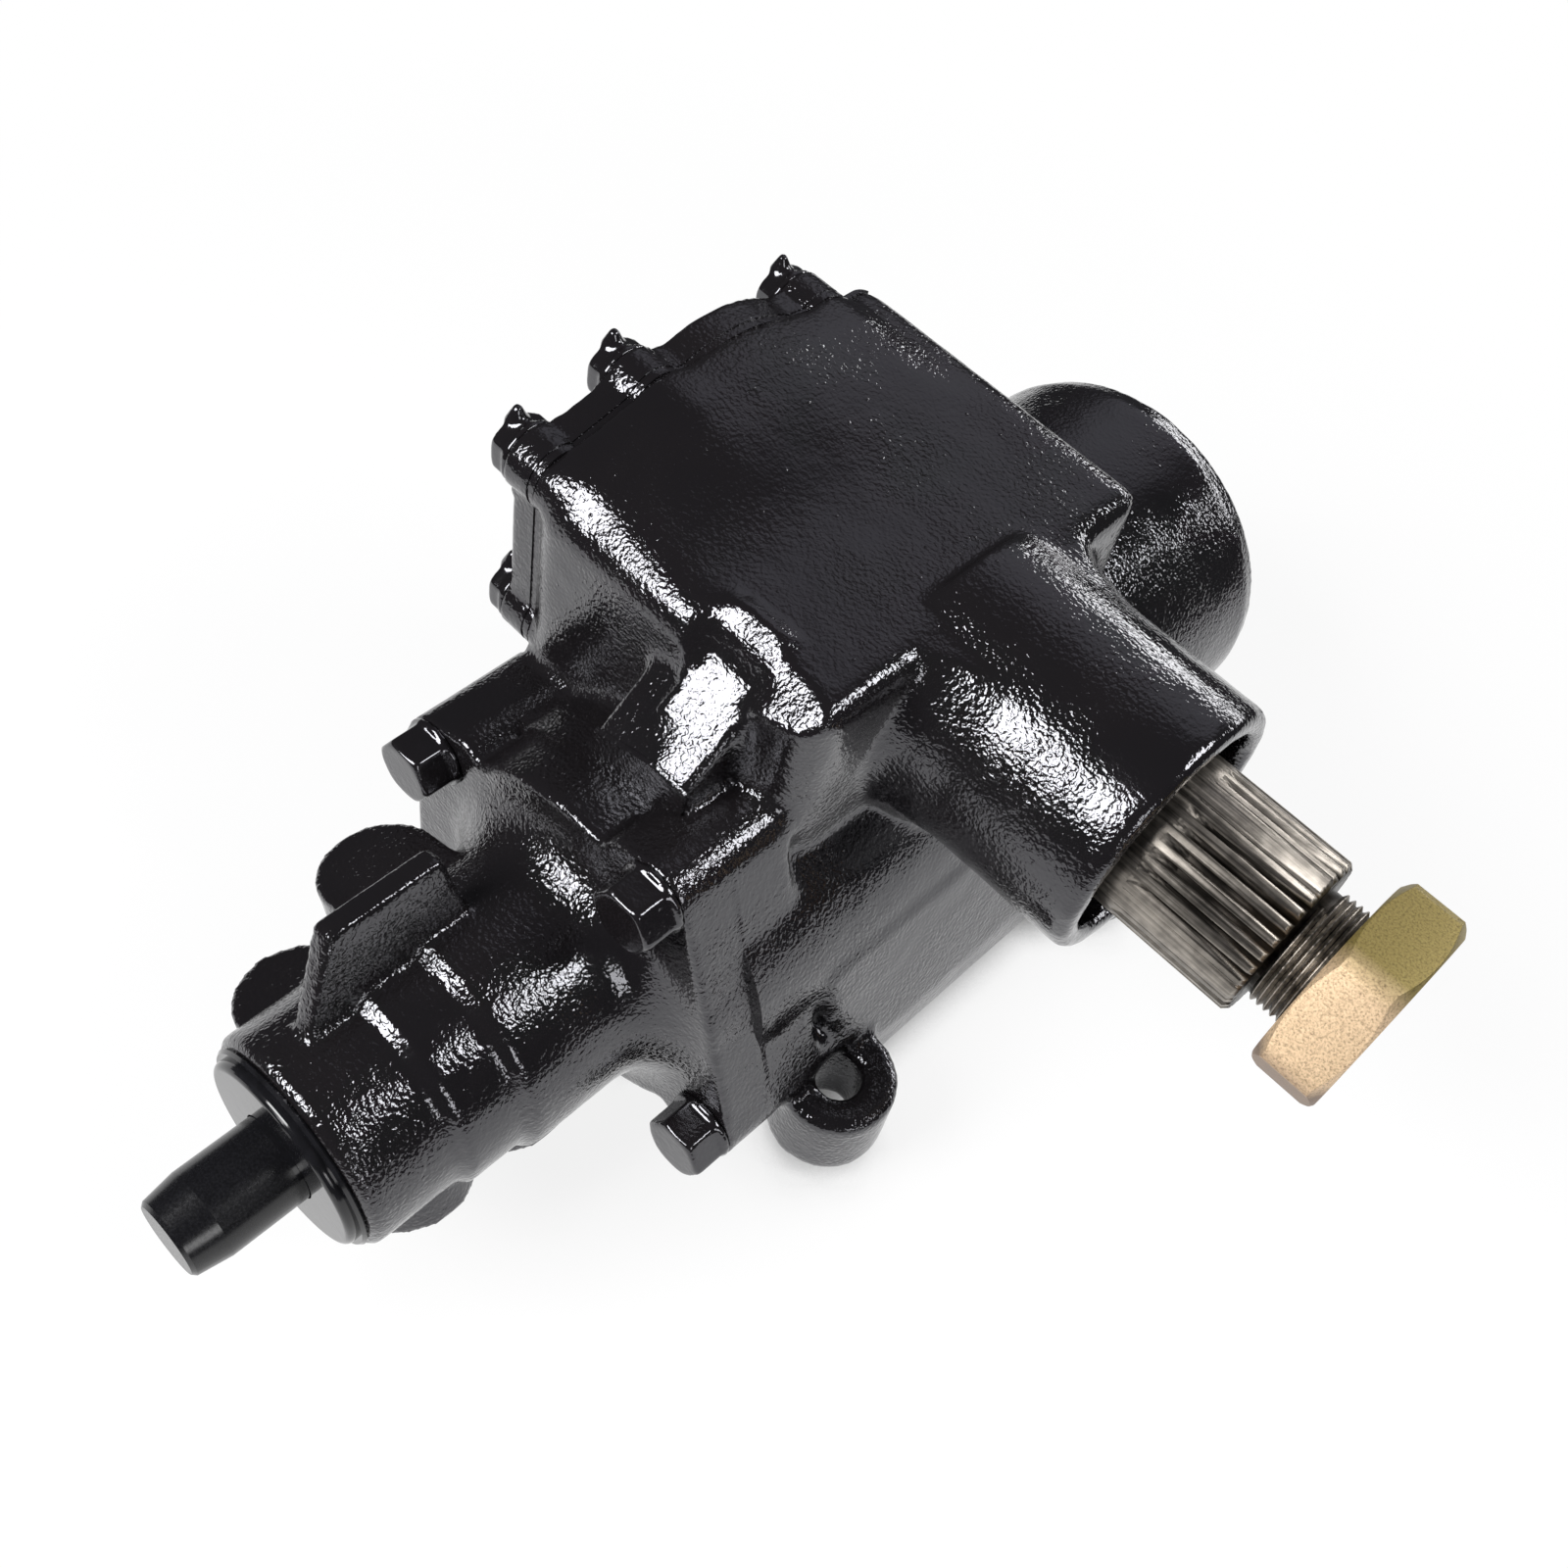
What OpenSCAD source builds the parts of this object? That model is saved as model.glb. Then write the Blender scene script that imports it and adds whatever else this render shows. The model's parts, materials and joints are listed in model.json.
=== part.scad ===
// Recirculating-ball power steering gear. Everything is drawn about the worm axis, which runs
// along Y, with the sector shaft parallel to X above it. in_frame() then moves the drawing so
// that the origin lies on the sector shaft axis at the nose end, where the pitman arm goes on.

/* [Layout] */
// Height of the sector shaft axis above the worm axis
axis_gap = 55; // [54.5:0.1:55.6]
// Nose end face, from the worm axis
nose_end = 81; // [76:0.5:84]
// Joint of the valve housing, in front of the sector axis
front_joint = 71.5; // [70:0.5:76]
// Rear end of the cylinder, behind the sector axis
rear_end = 110.5; // [106:0.5:120]
// Joint of the side cover, from the worm axis
cover_joint = 52; // [51.5:0.5:56]
// Turn of the valve housing about the worm axis
valve_tilt = 20; // [10:1:30]

/* [Gear housing] */
// Outer radius of the cylinder
cyl_r = 46.3; // [44:0.1:48]
// Radius of the piston bore
bore_r = 35.05; // [34:0.05:36]
// Thickness of the closed rear wall
rear_wall = 12; // [8:0.5:16]
// Length of the turned rim at the rear end
rim_l = 5.5; // [3:0.5:8]
// Top plate above the sector axis
plate_rise = 27; // [25:0.5:30]
// Front wall of the sector box, from the sector axis
box_front = 56; // [54:0.5:60]
// Rear wall of the sector box, from the sector axis
box_rear = 48; // [43:0.5:50]
// Nose side of the sector box, from the worm axis
box_side = 29.5; // [28:0.5:33]
// Edge radius of the sector box
box_edge_r = 9; // [6:0.5:12]
// Outer radius of the nose
nose_r = 31.3; // [29:0.1:34]
// Radius of the seal recess in the nose
recess_r = 25.6; // [24.5:0.1:27]
// Thickness of the front flange
flange_t = 16.2; // [12.2:1:17.2]
// Lower mounting face, below the worm axis
mount_drop = 47; // [46.5:0.5:52]
// Height of the mounting ears
ear_h = 22.5; // [18:0.5:26]
// Outer radius of the mounting ears
ear_r = 14.2; // [12:0.2:16]
// Radius of the tapped mounting holes
mount_hole_r = 5.75; // [5:0.05:6.5]
// Mounting holes on the nose side, from the worm axis
ear_x = 56.3; // [54:0.1:60]
// Mounting holes on the cover side, from the worm axis
far_ear_x = 41.7; // [39:0.1:44]
// Mounting holes in front of and behind the sector axis
ear_y = 51; // [48:0.5:54]
// Outer edge of the side rail, from the worm axis
rail_x = 54.5; // [53:0.1:60]

/* [Sector shaft] */
// Module of the sector and rack teeth
tooth_module = 6; // [5.9:0.05:6.1]
// Pressure angle of the teeth
pressure_angle = 25; // [24:0.5:26]
// Half width of the sector teeth along the shaft
sector_half_w = 20; // [16:0.5:21]
// Play on each tooth flank
tooth_play = 0.12; // [0.08:0.02:0.2]
// Journal radius in the needle bearing
sector_journal_r = 19; // [18:0.1:19.5]
// Journal radius in the side cover
cover_journal_r = 17.4; // [16.5:0.1:18]
// Outer radius of the pitman spline
spline_r = 19.05; // [18.5:0.05:19.5]
// Depth of the spline grooves
spline_depth = 1.6; // [1.2:0.1:2]
// Number of spline positions, blanks included
spline_count = 32; // [28:4:36]
// Length of the shaft from the nose to the end of the spline
spline_reach = 31.3; // [28:0.1:35]
// Radius of the nut thread
thread_r = 13.95; // [13:0.05:14.5]

/* [Pitman nut] */
// Width across the flats
nut_af = 44; // [40:0.1:45]
// Thickness
nut_t = 15; // [12:0.5:16]
// Gap between the spline and the nut
nut_gap = 8.9; // [7:0.1:11]

/* [Rack piston] */
// Clearance of the piston in its bore
piston_play = 0.05; // [0.03:0.01:0.1]
// Front end of the piston, in front of the sector axis
piston_front = 35; // [34.5:0.5:38]
// Closed end of the piston, behind the sector axis
piston_rear = 66; // [64:0.5:70]
// Width of the piston ring
ring_w = 4; // [3:0.2:5]

/* [Worm and balls] */
// Ball diameter
ball_d = 7; // [6.8:0.05:7.1]
// Radius of the ball path
ball_path_r = 13.5; // [13.2:0.1:14]
// Axial advance in one turn
lead = 10.6; // [10.3:0.1:11]
// Radius of the worm over its lands
worm_r = 12.5; // [12:0.1:12.8]
// Turns in the ball circuit
circuit_turns = 2.5; // [2:0.5:3]
// Radius of the worm flange between the thrust bearings
worm_flange_r = 22; // [20:0.5:24]

/* [Valve housing] */
// Radius of the bolt circle
valve_bolt_circle_r = 50; // [48:0.5:53]
// Radius of the flange between its bolts
flange_disc_r = 44.2; // [43:0.1:46]
// Corner radius of the pads round the bolts
bolt_boss_r = 8.4; // [8:0.2:10]
// Thickness of the valve flange
valve_flange_t = 12.5; // [10:0.5:15]
// Front face of the neck, in front of the sector axis
neck_front = 156.5; // [153:0.5:160]
// Radius of the front neck
neck_front_r = 25.5; // [24.5:0.1:26.5]
// Radius of the middle neck
neck_mid_r = 27.5; // [27:0.1:28.5]
// Radius of the rear neck
neck_rear_r = 29.7; // [29:0.1:32]
// Bore radius for the valve sleeve
sleeve_bore_r = 19.05; // [18.5:0.05:20]
// Thickness of the top fin
fin_t = 6; // [4:0.5:8]
// Height of the fin's top above the worm axis
fin_top = 45.5; // [42:0.5:48]
// Outer radius of the port bosses
port_boss_r = 13.4; // [12:0.2:14.4]
// Radius of the pressure port
pressure_port_r = 8; // [7:0.1:8.5]
// Radius of the return port
return_port_r = 9; // [7:0.1:9.5]
// Depth of the port threads
port_depth = 16; // [12:0.5:18]

/* [Input shaft] */
// Radius of the shaft in the seal
input_r = 9.95; // [9.5:0.05:10.2]
// Length of the capped shaft end past the neck
cap_reach = 29.1; // [24:0.1:34]
// Wall of the shaft cap
cap_wall = 1.2; // [1:0.1:1.6]
// Length of the tapered end of the cap
cap_taper_l = 8; // [5:0.5:10]
// Radius of the spool inside the valve sleeve
spool_r = 12; // [11.5:0.1:12.5]
// Radius of the torsion bar between its ends
torsion_r = 3.2; // [2.8:0.1:3.5]
// Outer radius of the dust cover
dust_r = 22.16; // [20:0.1:23.5]
// Thickness of the dust cover
dust_t = 3.6; // [3:0.1:4.5]

/* [Side cover] */
// Flange thickness of the cover
cover_t = 7.2; // [5:0.1:9]
// Thickness of the gasket
gasket_t = 0.8; // [0.5:0.1:1.5]
// Front bolts, in front of the sector axis
cover_front = 47; // [45:0.5:48.5]
// Front bolts, above and below the sector axis
cover_front_z = 21.7; // [20:0.1:23]
// Middle bolts, in front of the sector axis
cover_mid = 21.6; // [19:0.2:24]
// Upper middle bolt, above the sector axis
cover_mid_z = 28.4; // [27.5:0.1:30]
// Lower middle bolt, below the sector axis
cover_low_z = 32; // [31.5:0.1:34]
// Rear bolts, behind the sector axis
cover_rear = 28.8; // [27:0.2:31]
// Rear bolts, above and below the sector axis
cover_rear_z = 23.5; // [22.5:0.1:25]
// Radius of the bosses round the cover bolts
cover_boss_r = 7.8; // [7.6:0.1:9.5]
// Radius of the round middle of the cover
cover_crown_r = 35.5; // [34:0.5:38]

/* [Fasteners] */
// Shank radius of the valve housing bolts
valve_bolt_r = 4.7; // [4.2:0.1:5]
// Width across flats of the valve housing bolts
valve_bolt_af = 14.3; // [13:0.1:15]
// Shank radius of the cover bolts
cover_bolt_r = 4; // [3.5:0.1:4.3]
// Width across flats of the cover bolts
cover_bolt_af = 12.7; // [11.5:0.1:14]
// Height of the valve housing bolts' heads over their collars
valve_head_h = 8.2; // [6:0.2:9]
// Height of the cover bolts' heads over their collars
cover_head_h = 4.4; // [4.2:0.1:7]
// Thickness of the collar under each head
collar_t = 1.4; // [1:0.1:2]

/* [Clearances] */
// Radial play of running fits
run_play = 0.03; // [0.02:0.01:0.06]
// Radial play of seated pieces
seat_play = 0.02; // [0.01:0.01:0.05]
// Play of a bolt in its clearance hole
bolt_play = 0.4; // [0.2:0.05:0.6]
// Room between a moving piece and a wall
room = 0.5; // [0.3:0.1:0.8]

/* [Hidden] */
$fn = 72;
over = 1; // how far a cut runs past the face it opens

// Teeth: a nine tooth pinion's arc rolls on a straight rack cut across the piston
pinion_teeth = 9;
pitch_r = tooth_module * pinion_teeth / 2;
base_r = pitch_r * cos(pressure_angle);
tooth_tip_r = pitch_r + 0.7 * tooth_module;
tooth_core_r = pitch_r - 0.93 * tooth_module;
rack_pitch = PI * tooth_module;
rack_line = axis_gap - pitch_r;
rack_top = rack_line + 0.75 * tooth_module;
rack_root = rack_line - 0.93 * tooth_module;
sector_angles = [-360 / pinion_teeth, 0, 360 / pinion_teeth];

// Sector shaft, outward from the nose
spline_end = nose_end + spline_reach;
nut_seat = spline_end + nut_gap;
shaft_end = nut_seat + nut_t;

// Bearings and seals in the nose
needle_d = 2.9;
sector_shell_r = sector_journal_r + run_play * 2 + needle_d;
sector_shell_wall = 1.1;
sector_bearing_r = sector_shell_r + sector_shell_wall;
sector_shoulder = sector_half_w + 5;
sector_bearing_l = 26;
seal_face = sector_shoulder + sector_bearing_l + 8;
seal_t = 9;
washer_t = 1.5;
snap_t = 1.6;
snap_groove = 1.2;
snap_play = 0.1;
snap_face = seal_face + seal_t + washer_t;
box_play = 1;
box_cavity_r = tooth_tip_r + 0.9;
shaft_cavity_r = tooth_core_r + box_play;
sector_roof = 11;

// Side cover stack, outward from the joint
cover_in = cover_joint + gasket_t;
cover_out = cover_in + cover_t;
bush_wall = 2.6;
bush_l = 26;
cover_spigot_r = shaft_cavity_r - 0.25;
cover_spigot_end = sector_half_w + 1.5;
adjuster_r = 5;
adjuster_head_r = 8.5;
adjuster_head_t = 4.5;
adjuster_slot = 24;
lock_nut_af = 17;
lock_nut_t = 6.5;
cover_bolt_depth = 10;
cover_boss_l = cover_bolt_depth + 3;
cover_web = 5.5;
cover_land = 9;
cover_inset = 0.3;
cover_bolts = [
    [cover_rear, -cover_rear_z], [cover_rear, cover_rear_z],
    [-cover_mid, cover_mid_z], [-cover_front, cover_front_z],
    [-cover_front, -cover_front_z], [-cover_mid, -cover_low_z]
];

// Piston and ball circuit
piston_r = bore_r - piston_play;
ball_r = ball_d / 2;
ball_room = 0.15;
nut_bore_r = ball_path_r + ball_r + ball_room;
groove_r = ball_r + 0.22;
circuit_l = circuit_turns * lead;
ball_pitch = ball_d * 1.03;
ball_count = floor(circuit_turns * 2 * PI * ball_path_r / ball_pitch);
travel = pitch_r * 37 * PI / 180;
worm_l = circuit_l + 2 * travel + 6;
worm_front = worm_l / 2;
piston_bore_rear = worm_l / 2 + travel + 3;
ring_land = 5;
ring_depth = 2.4;
ring_side_play = 0.1;
ring_front = piston_rear - ring_land - ring_w;
plug_key = 10;
plug_key_depth = 4;
guide_r = ball_r + 1.1;
guide_hole_r = guide_r + 0.1;
guide_leg = circuit_l / 2;
guide_flat = 24;
guide_slit = 0.1;
guide_run = guide_flat + guide_r + 0.2;
guide_pocket_w = 13.5;
guide_pocket_end = guide_leg + guide_r + 6;
clamp_t = 1.2;
clamp_half_l = 5;
clamp_screw_x = 9.2;
clamp_screw_r = 1.9;

// Valve housing, counted forward from the joint
valve_flange_face = front_joint + valve_flange_t;
pilot_l = 9;
pilot_r = bore_r - seat_play;
thrust_r = worm_flange_r + 5.5;
thrust_t = 2.5;
worm_flange_t = 5;
thrust_face = front_joint + 8.5;
flange_front = thrust_face - thrust_t;
flange_rear = flange_front - worm_flange_t;
race_nut_face = flange_rear - thrust_t;
race_nut_t = race_nut_face - (front_joint - pilot_l) - 0.5;
race_slot_in = 3;
race_slot_l = 5;
race_slot_w = 6;
sleeve_l = 48;
sleeve_rear = thrust_face + 2;
sleeve_front = sleeve_rear + sleeve_l;
sleeve_r = sleeve_bore_r - run_play * 2;
bearing_step = sleeve_front + 2;
input_bearing_l = 12;
input_needle_d = 2.4;
input_journal_r = input_r + 0.5;
input_shell_r = input_journal_r + run_play * 2 + input_needle_d;
input_shell_wall = 1.2;
input_bearing_r = input_shell_r + input_shell_wall;
seal_step = bearing_step + input_bearing_l + 1;
input_seal_r = input_bearing_r + 1.6;
input_seal_t = 7;
neck_mid_front = 135.5;
neck_rear_front = 120.5;
neck_step_l = 2;
flare_r = 12;
fin_rear = valve_flange_face + 26;
fin_slant = 2.5;
fin_foot = 9;
fin_rise = 12.5;
fin_root = 3;
fin_edge = 1.2;
flare_foot_r = neck_rear_r + flare_r;
torsion_end_r = 4;
torsion_top = seal_step + 6;
torsion_end_l = 12;
worm_neck_r = 14;
pin_r = 1.5;
pin_drop = 4;
pin_play = 0.4;
pin_seat = 0.06;
pin_inset = 0.4;
dust_face = neck_front + dust_t;
dust_rim = 1.4;
dust_play = 0.3;
dust_inset = 1.6;
dust_bead = 0.6;
cap_seat = dust_face + 1;
cap_end = neck_front + cap_reach;
cap_bottom = 2.6;
ring_count = 4;
sleeve_ring_in = 5;
sleeve_ring_w = 2.4;
sleeve_ring_t = 1.4;
valve_bolt_depth = 28;
boss_step = 0.6;
pad_c = valve_bolt_circle_r / sqrt(2);
pad_in = pad_c - 8;
valve_bolts = [for (k = [0:3]) let (a = valve_tilt + 45 + 90 * k)
    valve_bolt_circle_r * [cos(a), sin(a)]];
oil_way_out = pad_c + 13.7;
oil_way_drop = 2.4;
o_ring_r = 1.45;
o_ring_path_r = pilot_r + 2.4;
o_ring_play = 0.05;

// Port bosses in the tilted frame of the valve housing: across, along, top, lower end
port_x = -25;
port_right_x = 1.5;
port_drop = 33;
rear_port_y = 110;
front_port_y = 136.5;
rear_port_top = 27;
front_port_top = 11;

// Shapes about the two axes
module rod_x(x0, x1, r) translate([x0, 0, 0]) rotate([0, 90, 0]) cylinder(h = x1 - x0, r = r);
module rod_y(y0, y1, r) translate([0, y0, 0]) rotate([-90, 0, 0]) cylinder(h = y1 - y0, r = r);
module turn_x(points) rotate([0, 90, 0]) rotate_extrude() polygon(points);
module turn_y(points) rotate([-90, 0, 0]) rotate_extrude() polygon(points);
module tube_x(x0, x1, r_in, r_out)
    turn_x([[r_in, x0], [r_out, x0], [r_out, x1], [r_in, x1]]);
module tube_y(y0, y1, r_in, r_out)
    turn_y([[r_in, y0], [r_out, y0], [r_out, y1], [r_in, y1]]);
module on_sector() translate([0, 0, axis_gap]) children();
module tilted() rotate([0, -valve_tilt, 0]) children();
module in_frame() translate([-nose_end, 0, -axis_gap]) children();

// A convex plate whose corners are arcs of radius r about the given points, listed counter-clockwise
function side_normal(a, b) = let (d = (b - a) / norm(b - a)) [d.y, -d.x];
function rounded_outline(points, r) = [
    for (i = [0:len(points) - 1])
        let (a = points[i], b = points[(i + 1) % len(points)], n = side_normal(a, b))
            each [a + r * n, b + r * n]
];
module rounded_plate(points, r, h) {
    linear_extrude(h) polygon(rounded_outline(points, r));
    for (p = points) translate(p) cylinder(r = r, h = h);
}
module plate_x(x0, x1, points, r)
    translate([x0, 0, 0]) rotate([90, 0, 90]) rounded_plate(points, r, x1 - x0);
module plate_y(y0, y1, points, r)
    translate([0, y1, 0]) rotate([90, 0, 0]) rounded_plate(points, r, y1 - y0);
module plate_z(z0, z1, points, r) translate([0, 0, z0]) rounded_plate(points, r, z1 - z0);
function inset_box(x0, x1, y0, y1, r) =
    [[x0 + r, y0 + r], [x1 - r, y0 + r], [x1 - r, y1 - r], [x0 + r, y1 - r]];

// Hexagon head lying along +Z, with its corners turned off at the top
module hex_head(af, h) intersection() {
    cylinder(h = h, d = af / cos(30), $fn = 6);
    rotate_extrude() polygon([
        [0, 0], [af, 0], [af, h - af * 0.32], [af / 2 * 0.97, h], [0, h]
    ]);
}
module flange_bolt(af, r, head, shank) {
    rotate([180, 0, 0]) cylinder(h = shank, r = r);
    cylinder(h = collar_t, d = af * 1.18);
    translate([0, 0, collar_t]) hex_head(af, head);
}

module tapped_ear(x, y) translate([x, y, -mount_drop]) cylinder(h = ear_h, r = ear_r);

// Straight sides of the front flange, which carry the bolts, shared by both housings. The far one
// has one more corner, round the oil way between the housings.
module flange_sides(y0, y1) tilted() {
    inner = [[pad_c, pad_c], [pad_in, pad_c], [pad_in, -pad_c], [pad_c, -pad_c]];
    plate_y(y0, y1, inner, bolt_boss_r);
    rotate([0, 180, 0]) plate_y(y0, y1, concat(inner, [[oil_way_out, oil_way_drop]]), bolt_boss_r);
}

// Side cover outline: a round crown and straight edges between the bolts, then a lobe at each bolt
module cover_web_plate(x0, x1, inset = 0) {
    plate_x(x0, x1, cover_bolts, cover_web - inset);
    rod_x(x0, x1, cover_crown_r - inset);
}
module cover_outline(x0, x1, inset = 0) {
    cover_web_plate(x0, x1, inset);
    for (p = cover_bolts) translate([0, p.x, p.y]) rod_x(x0, x1, cover_boss_r - inset);
}

module sector_box() intersection() {
    top = axis_gap + plate_rise;
    plate_z(0, top, inset_box(-cover_joint, box_side, -box_front, box_rear, box_edge_r), box_edge_r);
    plate_x(-cover_joint, box_side, inset_box(-box_front, box_rear, -top, top, box_edge_r), box_edge_r);
    plate_y(-box_front, box_rear, inset_box(-cover_joint - top, box_side, -top, top, box_edge_r * 0.6),
        box_edge_r * 0.6);
}

module cylinder_body() {
    rim = cyl_r - 1.2;
    turn_y([
        [0, -front_joint - over], [cyl_r, -front_joint - over], [cyl_r, rear_end - rim_l],
        [rim, rear_end - rim_l + 0.6],
        [rim, rear_end - 1.6], [rim - 1.6, rear_end], [0, rear_end]
    ]);
}

// Turned nose, with a flared root that stays under the top plate
nose_start = box_side - 9;
nose_edge = 1.2;
flare_end = box_side + 18;
flare_over = 6;
module nose_body() on_sector() {
    turn_x([
        [0, nose_start], [nose_r, nose_start], [nose_r, nose_end - nose_edge],
        [nose_r - nose_edge, nose_end], [0, nose_end]
    ]);
    root_r = nose_r + flare_over;
    intersection() {
        turn_x([
            [0, 0], [root_r, 0], [root_r, box_side - 4], [nose_r + 2, box_side + 4],
            [nose_r - 0.5, flare_end], [0, flare_end]
        ]);
        translate([0, -root_r, -root_r]) cube([flare_end, 2 * root_r, root_r + plate_rise - 1]);
    }
}

// Sloped pad that fills the corner between the front flange and the sector box, with its far half
// rolled down towards the cover
ramp_far = 12;
ramp_near = 13.5;
ramp_crest = 4;
ramp_roll = 14;
ramp_foot = 20;
ramp_edge = 1.5;
ramp_front = -front_joint + 2;
ramp_rear = -box_front + 6;
ramp_low = axis_gap + 2.5;
ramp_high = axis_gap + plate_rise - 8;
module front_ramp() difference() {
    run = ramp_rear - ramp_front;
    rise = ramp_high - ramp_low;
    plate_x(-ramp_far, ramp_near, [
        [ramp_front, ramp_foot], [ramp_rear, ramp_foot], [ramp_rear, ramp_high], [ramp_front, ramp_low]
    ], ramp_edge);
    translate([ramp_crest, ramp_front, ramp_low]) rotate([atan2(rise, run), 0, 0])
        translate([0, 0, ramp_edge]) rotate([0, -ramp_roll, 0])
            translate([-2 * run, -run, 0]) cube([2 * run, 4 * run, run]);
}

// Low rail with sloped sides that carries the mounting ears
module side_rail() plate_y(-ear_y, ear_y, [
    [-10, -mount_drop + 5], [rail_x - 5, -mount_drop + 5], [rail_x - 5, -mount_drop + ear_h - 7],
    [cyl_r - 4, 4], [cyl_r - 12, 18], [-10, 10]
], 5);

// Boss behind each cover bolt, fading into the box
module cover_boss() turn_x([
    [0, -cover_joint], [cover_boss_r, -cover_joint], [cover_boss_r, -cover_joint + cover_bolt_depth],
    [cover_bolt_r, -cover_joint + cover_boss_l], [0, -cover_joint + cover_boss_l]
]);

module housing_shape() {
    cylinder_body();
    flange_sides(-front_joint - over, -front_joint + flange_t);
    for (p = valve_bolts)
        translate([p.x, 0, p.y])
            rod_y(-front_joint + flange_t - over, -front_joint + valve_bolt_depth, bolt_boss_r - boss_step);
    sector_box();
    on_sector() {
        cover_web_plate(-cover_joint, -cover_joint + cover_land);
        for (p = cover_bolts) translate([0, p.x, p.y]) cover_boss();
    }
    nose_body();
    front_ramp();
    side_rail();
    for (y = [-ear_y, ear_y]) {
        tapped_ear(ear_x, y);
        tapped_ear(-far_ear_x, y);
    }
}

// Keyhole room for the sector: a round shaft way with a wider lower part for the teeth
module sector_cavity() on_sector() {
    rod_x(-cover_joint - over, sector_shoulder, shaft_cavity_r);
    intersection() {
        rod_x(-cover_joint - over, sector_shoulder, box_cavity_r);
        translate([-cover_joint - over, -box_cavity_r, sector_roof - 2 * box_cavity_r])
            cube([cover_joint + over + sector_shoulder, 2 * box_cavity_r, 2 * box_cavity_r]);
    }
}

module nose_bores() on_sector() {
    rod_x(0, nose_end, sector_journal_r + room);
    rod_x(sector_shoulder, sector_shoulder + sector_bearing_l, sector_bearing_r + seat_play);
    rod_x(seal_face, nose_end + over, recess_r);
    rod_x(snap_face, snap_face + snap_t + snap_play, recess_r + snap_groove);
}

module gear_housing() color("#1c1c1f") in_frame() difference() {
    housing_shape();
    rod_y(-front_joint - 2 * over, -front_joint, 2 * valve_bolt_circle_r);
    rod_y(-front_joint - over, rear_end - rear_wall, bore_r);
    sector_cavity();
    nose_bores();
    for (p = valve_bolts)
        translate([p.x, 0, p.y])
            rod_y(-front_joint - over, -front_joint + valve_bolt_depth - 4, valve_bolt_r + seat_play);
    on_sector() for (p = cover_bolts)
        translate([0, p.x, p.y])
            rod_x(-cover_joint - over, -cover_joint + cover_bolt_depth, cover_bolt_r + seat_play);
    for (x = [ear_x, -far_ear_x], y = [-ear_y, ear_y])
        translate([x, y, -mount_drop - over]) cylinder(h = ear_h + 2 * over, r = mount_hole_r);
}

// Turned outside of the valve housing, from the front face back to the flange
module neck_body() turn_y(concat(
    [
        [0, -neck_front], [neck_front_r - 1.5, -neck_front], [neck_front_r, -neck_front + 1.5],
        [neck_front_r, -neck_mid_front], [neck_mid_r, -neck_mid_front + neck_step_l],
        [neck_mid_r, -neck_rear_front], [neck_rear_r, -neck_rear_front + neck_step_l]
    ],
    [for (a = [0:15:90]) [flare_foot_r - flare_r * cos(a), -valve_flange_face - flare_r + flare_r * sin(a)]],
    [[flare_foot_r, -front_joint - 1], [0, -front_joint - 1]]
));

module port_boss(y, top) translate([0, -y, 0]) plate_z(-port_drop, top, [
    [port_x, -0.01], [0, -0.01], [0, 0.01], [port_x, 0.01]
], port_boss_r);

// Foot of each port boss that shows on the other side of the neck
module port_foot(y) translate([0, -y, 0]) plate_z(-port_drop, -22, [
    [0, -3], [port_right_x, -3], [port_right_x, 3], [0, 3]
], port_boss_r - 3);

module top_fin() translate([-fin_t / 3, 0, 0]) plate_x(0, fin_t, [
    [-neck_front + fin_foot, neck_front_r - fin_root], [-fin_rear + fin_slant, neck_front_r - fin_root],
    [-fin_rear, fin_top - fin_edge], [-neck_front + fin_foot + fin_rise, fin_top - fin_edge]
], fin_edge);

module valve_housing() color("#1c1c1f") in_frame() difference() {
    union() {
        rod_y(-valve_flange_face, -front_joint, flange_disc_r);
        flange_sides(-valve_flange_face, -front_joint);
        neck_body();
        rod_y(-front_joint - over, -front_joint + pilot_l, pilot_r);
        tilted() {
            top_fin();
            port_boss(rear_port_y, rear_port_top);
            port_boss(front_port_y, front_port_top);
            port_foot(rear_port_y);
            port_foot(front_port_y);
        }
    }
    rod_y(-thrust_face, -front_joint + pilot_l + over, thrust_r);
    rod_y(-bearing_step, -thrust_face + over, sleeve_bore_r);
    rod_y(-seal_step, -bearing_step + over, input_bearing_r + seat_play);
    rod_y(-neck_front - over, -seal_step + over, input_seal_r + seat_play);
    tube_y(-front_joint - 2 * o_ring_r - o_ring_play, -front_joint + over,
        o_ring_path_r - o_ring_r - o_ring_play, o_ring_path_r + o_ring_r + o_ring_play);
    for (p = valve_bolts)
        translate([p.x, 0, p.y])
            rod_y(-valve_flange_face - over, -front_joint + over, valve_bolt_r + bolt_play);
    tilted() {
        translate([port_x, -rear_port_y, -port_drop - over])
            cylinder(h = port_depth + over, r = return_port_r);
        translate([port_x, -front_port_y, -port_drop - over])
            cylinder(h = port_depth + over, r = pressure_port_r);
    }
}

module valve_housing_o_ring() color("#141414") in_frame()
    translate([0, -front_joint - o_ring_r - o_ring_play / 2, 0]) rotate([-90, 0, 0])
        rotate_extrude() translate([o_ring_path_r, 0]) circle(r = o_ring_r);

module valve_housing_bolts() color("#202024") in_frame()
    for (p = valve_bolts)
        translate([p.x, -valve_flange_face, p.y]) rotate([90, 0, 0])
            flange_bolt(valve_bolt_af, valve_bolt_r, valve_head_h, valve_flange_t + valve_bolt_depth - 6);

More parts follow.
